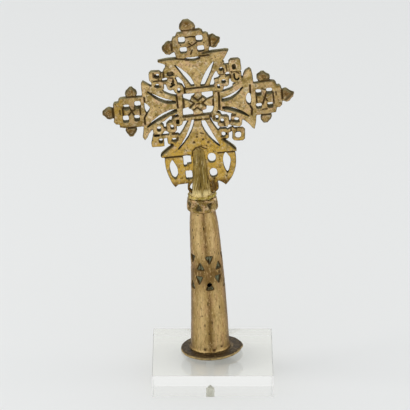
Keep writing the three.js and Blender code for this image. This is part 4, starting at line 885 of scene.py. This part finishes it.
class HANDCROSS_OT_tube(bpy.types.Operator):
    """Adds the hollow tapered tube with its chip-cut bands"""

    bl_idname = "hand_cross.tube"
    bl_label = "Socket Tube"

    def execute(self, context):
        tube = cast_piece("socket_tube", "tapered_tube")
        local, normals = coordinates(tube, SHAFT)
        height = local[:, 2]
        middle = TUBE_BOW * np.sin(np.pi * np.clip(height / COLLAR_BOTTOM, 0, 1))
        side = local[:, 0] - middle
        radius = np.hypot(side, local[:, 1])
        whole = np.interp(height, *zip(*TUBE_PROFILE))
        outward = (normals[:, 0] * side + normals[:, 1] * local[:, 1]) / radius
        outside = (outward > BORE_WALL) & (height > TUBE_CHIPS[0]) & (height < TUBE_CHIPS[1])
        chip = rise(whole - radius, *CHIP_DEPTHS) * outside
        wall = rise(CHIP_WALL - outward, 0, 0.3) * outside
        pit = cut_into(local, normals, (), TUBE_PITS)
        put_back(tube, local, SHAFT)

        across = side / whole
        # Painted dark reflection up the middle and painted shade at the sides, with painted
        # highlights between.
        dark = np.maximum(swell(across, *PAINTED_DARK_REFLECTION), rise(np.abs(across), *PAINTED_SHADE_SIDES))
        sheen = np.maximum(swell(across, *LEFT_PAINTED_HIGHLIGHT), 0.9 * swell(across, *RIGHT_PAINTED_HIGHLIGHT))
        store(tube, "recess", chip)
        store(tube, "cut", np.maximum(pit, wall))
        # The streak mark holds the painted shade and the brown band; the sheen mark the painted
        # highlights.
        store(tube, "streak", 0.75 * np.maximum(dark, swell(height, *BROWN_BAND)))
        store(tube, "sheen", 0.6 * sheen * (1 - swell(height, *DULL_BAND)))
        thinned(tube, (pit > WORKED) | (chip > 0.5))
        look = dict(LOOK, tan="#b8985e", olive="#a0834a", rose="#bd9766", pale="#edcf94",
                    brown="#644722", turn=SHAFT_LEAN, stretch=(1.0, 1.0, 0.3), wall=0.0,
                    pits=0.3, rubbed=0.3, tarnish=0.3, speck=0.5)
        smooth_brass(tube, "socket_tube", cast_brass("worn_tube_brass", look))
        return {"FINISHED"}


class HANDCROSS_OT_collar(bpy.types.Operator):
    """Adds the chip-cut collar"""

    bl_idname = "hand_cross.collar"
    bl_label = "Collar"

    def execute(self, context):
        collar = cast_piece("collar_ring", "chip_cut_collar")
        local, _ = coordinates(collar, SHAFT)
        radius = np.hypot(local[:, 0], local[:, 1])
        height = local[:, 2] - COLLAR_BOTTOM
        inner, outer = COLLAR_CHIP_RADII
        chip = rise(outer - radius, 0, 0.5) * (radius > inner)
        chip *= (height > COLLAR_CHIPS[0]) & (height < COLLAR_CHIPS[1])
        store(collar, "recess", chip)
        look = dict(LOOK, tan="#a1864a", olive="#7f6a30", green="#5f5436", wall=0.0,
                    rubbed=0.5)
        smooth_brass(collar, "collar_ring", cast_brass("worn_collar_brass", look))
        return {"FINISHED"}


class HANDCROSS_OT_braze(bpy.types.Operator):
    """Adds the rough ring of braze"""

    bl_idname = "hand_cross.braze"
    bl_label = "Braze Ring"

    def execute(self, context):
        braze = cast_piece("braze_ring", "rough_braze_ring")
        look = dict(LOOK, tan="#c4ad62", olive="#98842f", rose="#c7ab68", pale="#ecd9a0",
                    brown="#6b5219", wall=0.0, tarnish=0.7, bump=1.0, rough=0.35)
        smooth_brass(braze, "braze_ring", cast_brass("yellow_braze", look))
        return {"FINISHED"}


class HANDCROSS_OT_neck(bpy.types.Operator):
    """Adds the grooved fork that clasps the head"""

    bl_idname = "hand_cross.neck"
    bl_label = "Neck Fork"

    def execute(self, context):
        neck = cast_piece("neck_fork", "grooved_neck_fork")
        local, _ = coordinates(neck, SHAFT)
        bright = np.clip((NECK_BRIGHT - local[:, 2]) / 3, 0, 1)
        store(neck, "sheen", bright)
        store(neck, "streak", 0.5 * (1 - bright) * swell(local[:, 0], 0, NECK_STREAK))
        look = dict(LOOK, tan="#ac9350", olive="#86702f", rose="#b09558", pale="#ecd698",
                    brown="#5a4218", turn=SHAFT_LEAN, stretch=(1.0, 1.0, 0.2), wall=0.0,
                    tarnish=0.85, rubbed=0.9, bump=1.0)
        smooth_brass(neck, "neck_fork", cast_brass("grooved_neck_brass", look))
        return {"FINISHED"}


class HANDCROSS_OT_head(bpy.types.Operator):
    """Adds the openwork head"""

    bl_idname = "hand_cross.head"
    bl_label = "Cross Head"

    def execute(self, context):
        head = cast_piece("cross_head", "openwork_cross_head")
        local, normals = coordinates(head, HEAD)
        pushed(local, HEAD_PUSHES)
        slope_walls(local, normals, SLOPED_WALLS)
        filed = cut_into(local, normals, HEAD_CHAMFERS, ())
        cut_into(local, normals, (), BRAZE_LUMPS, -1)
        cut = cut_into(local, normals, HEAD_CUTS, HEAD_PITS)
        put_back(head, local, HEAD)
        side, height = local[:, 0], local[:, 2]
        stain = np.maximum(rise(-height, *LOWER_STAIN), 0.9 * swell(side, *POD_STAIN))
        # The paws are browner than the arms, their leaves and the foot browner still.
        outward = np.maximum(np.abs(side), height + PAW_RISE)
        brown = np.maximum(0.3 * rise(outward, *PAW_TARNISH), rise(-height, *FOOT_TARNISH))
        for x, z in LEAVES:
            brown = np.maximum(brown, swell(np.hypot(side - x, height - z), 0, LEAF_REACH))
        store(head, "cut", cut)
        # The filed rims and slopes are darkened with painted shade.
        store(head, "filed", filed)
        store(head, "ochre", stain)
        store(head, "streak", brown)
        thinned(head, cut > WORKED)
        # On the head the raised edges are painted dark, a painted shade, in place of bare metal.
        look = dict(LOOK, tan="#dcbd80", olive="#a1884a", rose="#dab588", pale="#ffeecb",
                    brown="#6f5020", ochre="#cfa848", bright="#6a5528", turn=HEAD_LEAN,
                    rubbed=0.55, tarnish=0.6, closed=0.5, bare=0.7, bump=0.8)
        smooth_brass(head, "cross_head", cast_brass("worn_head_brass", look))
        return {"FINISHED"}


class HANDCROSS_OT_stage(bpy.types.Operator):
    """Adds the floor, the soft lights and the camera"""

    bl_idname = "hand_cross.stage"
    bl_label = "Stage"

    def execute(self, context):
        scene = context.scene
        colours = scene.hand_cross_colours
        bpy.ops.object.select_all(action="DESELECT")
        bpy.ops.mesh.primitive_plane_add(size=FLOOR_SIDE, location=(0, 0, -FLOOR_GAP))
        floor = context.object
        floor.name = "pale_floor"
        material, tree = new_material("matt_floor")
        shader = add_node(tree, "ShaderNodeBsdfPrincipled", sockets={
            "Base Color": (*colours.floor, 1.0), "Roughness": 0.9,
            "Specular IOR Level": 0.1,
        })
        add_node(tree, "ShaderNodeOutputMaterial", sockets={"Surface": shader.outputs["BSDF"]})
        floor.data.materials.append(material)

        world = bpy.data.worlds.new("soft_surround")
        scene.world = world
        world.use_nodes = True
        tree = world.node_tree
        tree.nodes.clear()
        seen = add_node(tree, "ShaderNodeLightPath").outputs["Is Camera Ray"]
        # The room is brighter round the horizon than overhead.
        up = add_node(tree, "ShaderNodeTexCoord").outputs["Generated"]
        up = add_node(tree, "ShaderNodeSeparateXYZ", sockets={"Vector": up}).outputs["Z"]
        level = add_node(tree, "ShaderNodeMapRange", sockets={
            "Value": up, "From Min": 0.1, "From Max": 0.8, "To Min": 0.96, "To Max": 0.9,
        }).outputs["Result"]
        room = add_node(tree, "ShaderNodeBackground", sockets={
            "Color": rgba("#f6f7f7"), "Strength": level})
        back = add_node(tree, "ShaderNodeBackground", sockets={
            "Color": (*colours.sky, 1.0), "Strength": 1.0})
        both = add_node(tree, "ShaderNodeMixShader", sockets={
            0: seen, 1: room.outputs["Background"], 2: back.outputs["Background"]})
        add_node(tree, "ShaderNodeOutputWorld", sockets={"Surface": both.outputs["Shader"]})

        for name, place, size, power in LIGHTS:
            data = bpy.data.lights.new(name, "AREA")
            data.size = size
            data.energy = power
            lamp = bpy.data.objects.new(name, data)
            lamp.location = place
            aim = LIGHT_TARGET - Vector(place)
            lamp.rotation_euler = aim.to_track_quat("-Z", "Y").to_euler()
            scene.collection.objects.link(lamp)

        data = bpy.data.cameras.new("photo_camera")
        data.lens = CAMERA_LENS
        data.sensor_width = SENSOR
        data.clip_end = CAMERA_REACH
        camera = bpy.data.objects.new("photo_camera", data)
        camera.location = CAMERA_TARGET + CAMERA_DISTANCE * Vector((
            0, -math.cos(CAMERA_ELEVATION), math.sin(CAMERA_ELEVATION)))
        camera.rotation_euler = (math.pi / 2 - CAMERA_ELEVATION, 0, 0)
        scene.collection.objects.link(camera)
        scene.camera = camera
        scene.view_settings.view_transform = "Standard"
        return {"FINISHED"}


class HANDCROSS_PT_pieces(bpy.types.Panel):
    """Lists the pieces of the cross"""

    bl_label = "Hand Cross"
    bl_idname = "HANDCROSS_PT_pieces"
    bl_space_type = "VIEW_3D"
    bl_region_type = "UI"
    bl_category = "Hand Cross"

    def draw(self, context):
        layout = self.layout
        for owner in (context.scene.hand_cross_sizes, context.scene.hand_cross_colours):
            for key in owner.__annotations__:
                layout.prop(owner, key)
        for operator in OPERATORS:
            layout.operator(operator.bl_idname)


OPERATORS = (
    HANDCROSS_OT_block, HANDCROSS_OT_rod, HANDCROSS_OT_flange, HANDCROSS_OT_tube,
    HANDCROSS_OT_collar, HANDCROSS_OT_braze, HANDCROSS_OT_neck, HANDCROSS_OT_head,
    HANDCROSS_OT_stage,
)
CLASSES = (HandCrossSizes, HandCrossColours, *OPERATORS, HANDCROSS_PT_pieces)


def register():
    for cls in CLASSES:
        bpy.utils.register_class(cls)
    bpy.types.Scene.hand_cross_sizes = bpy.props.PointerProperty(type=HandCrossSizes)
    bpy.types.Scene.hand_cross_colours = bpy.props.PointerProperty(type=HandCrossColours)


def unregister():
    del bpy.types.Scene.hand_cross_colours
    del bpy.types.Scene.hand_cross_sizes
    for cls in reversed(CLASSES):
        bpy.utils.unregister_class(cls)


def main():
    register()
    bpy.ops.hand_cross.block()
    bpy.ops.hand_cross.rod()
    bpy.ops.hand_cross.flange()
    bpy.ops.hand_cross.tube()
    bpy.ops.hand_cross.collar()
    bpy.ops.hand_cross.braze()
    bpy.ops.hand_cross.neck()
    bpy.ops.hand_cross.head()
    bpy.ops.hand_cross.stage()


if __name__ == "__main__":
    main()
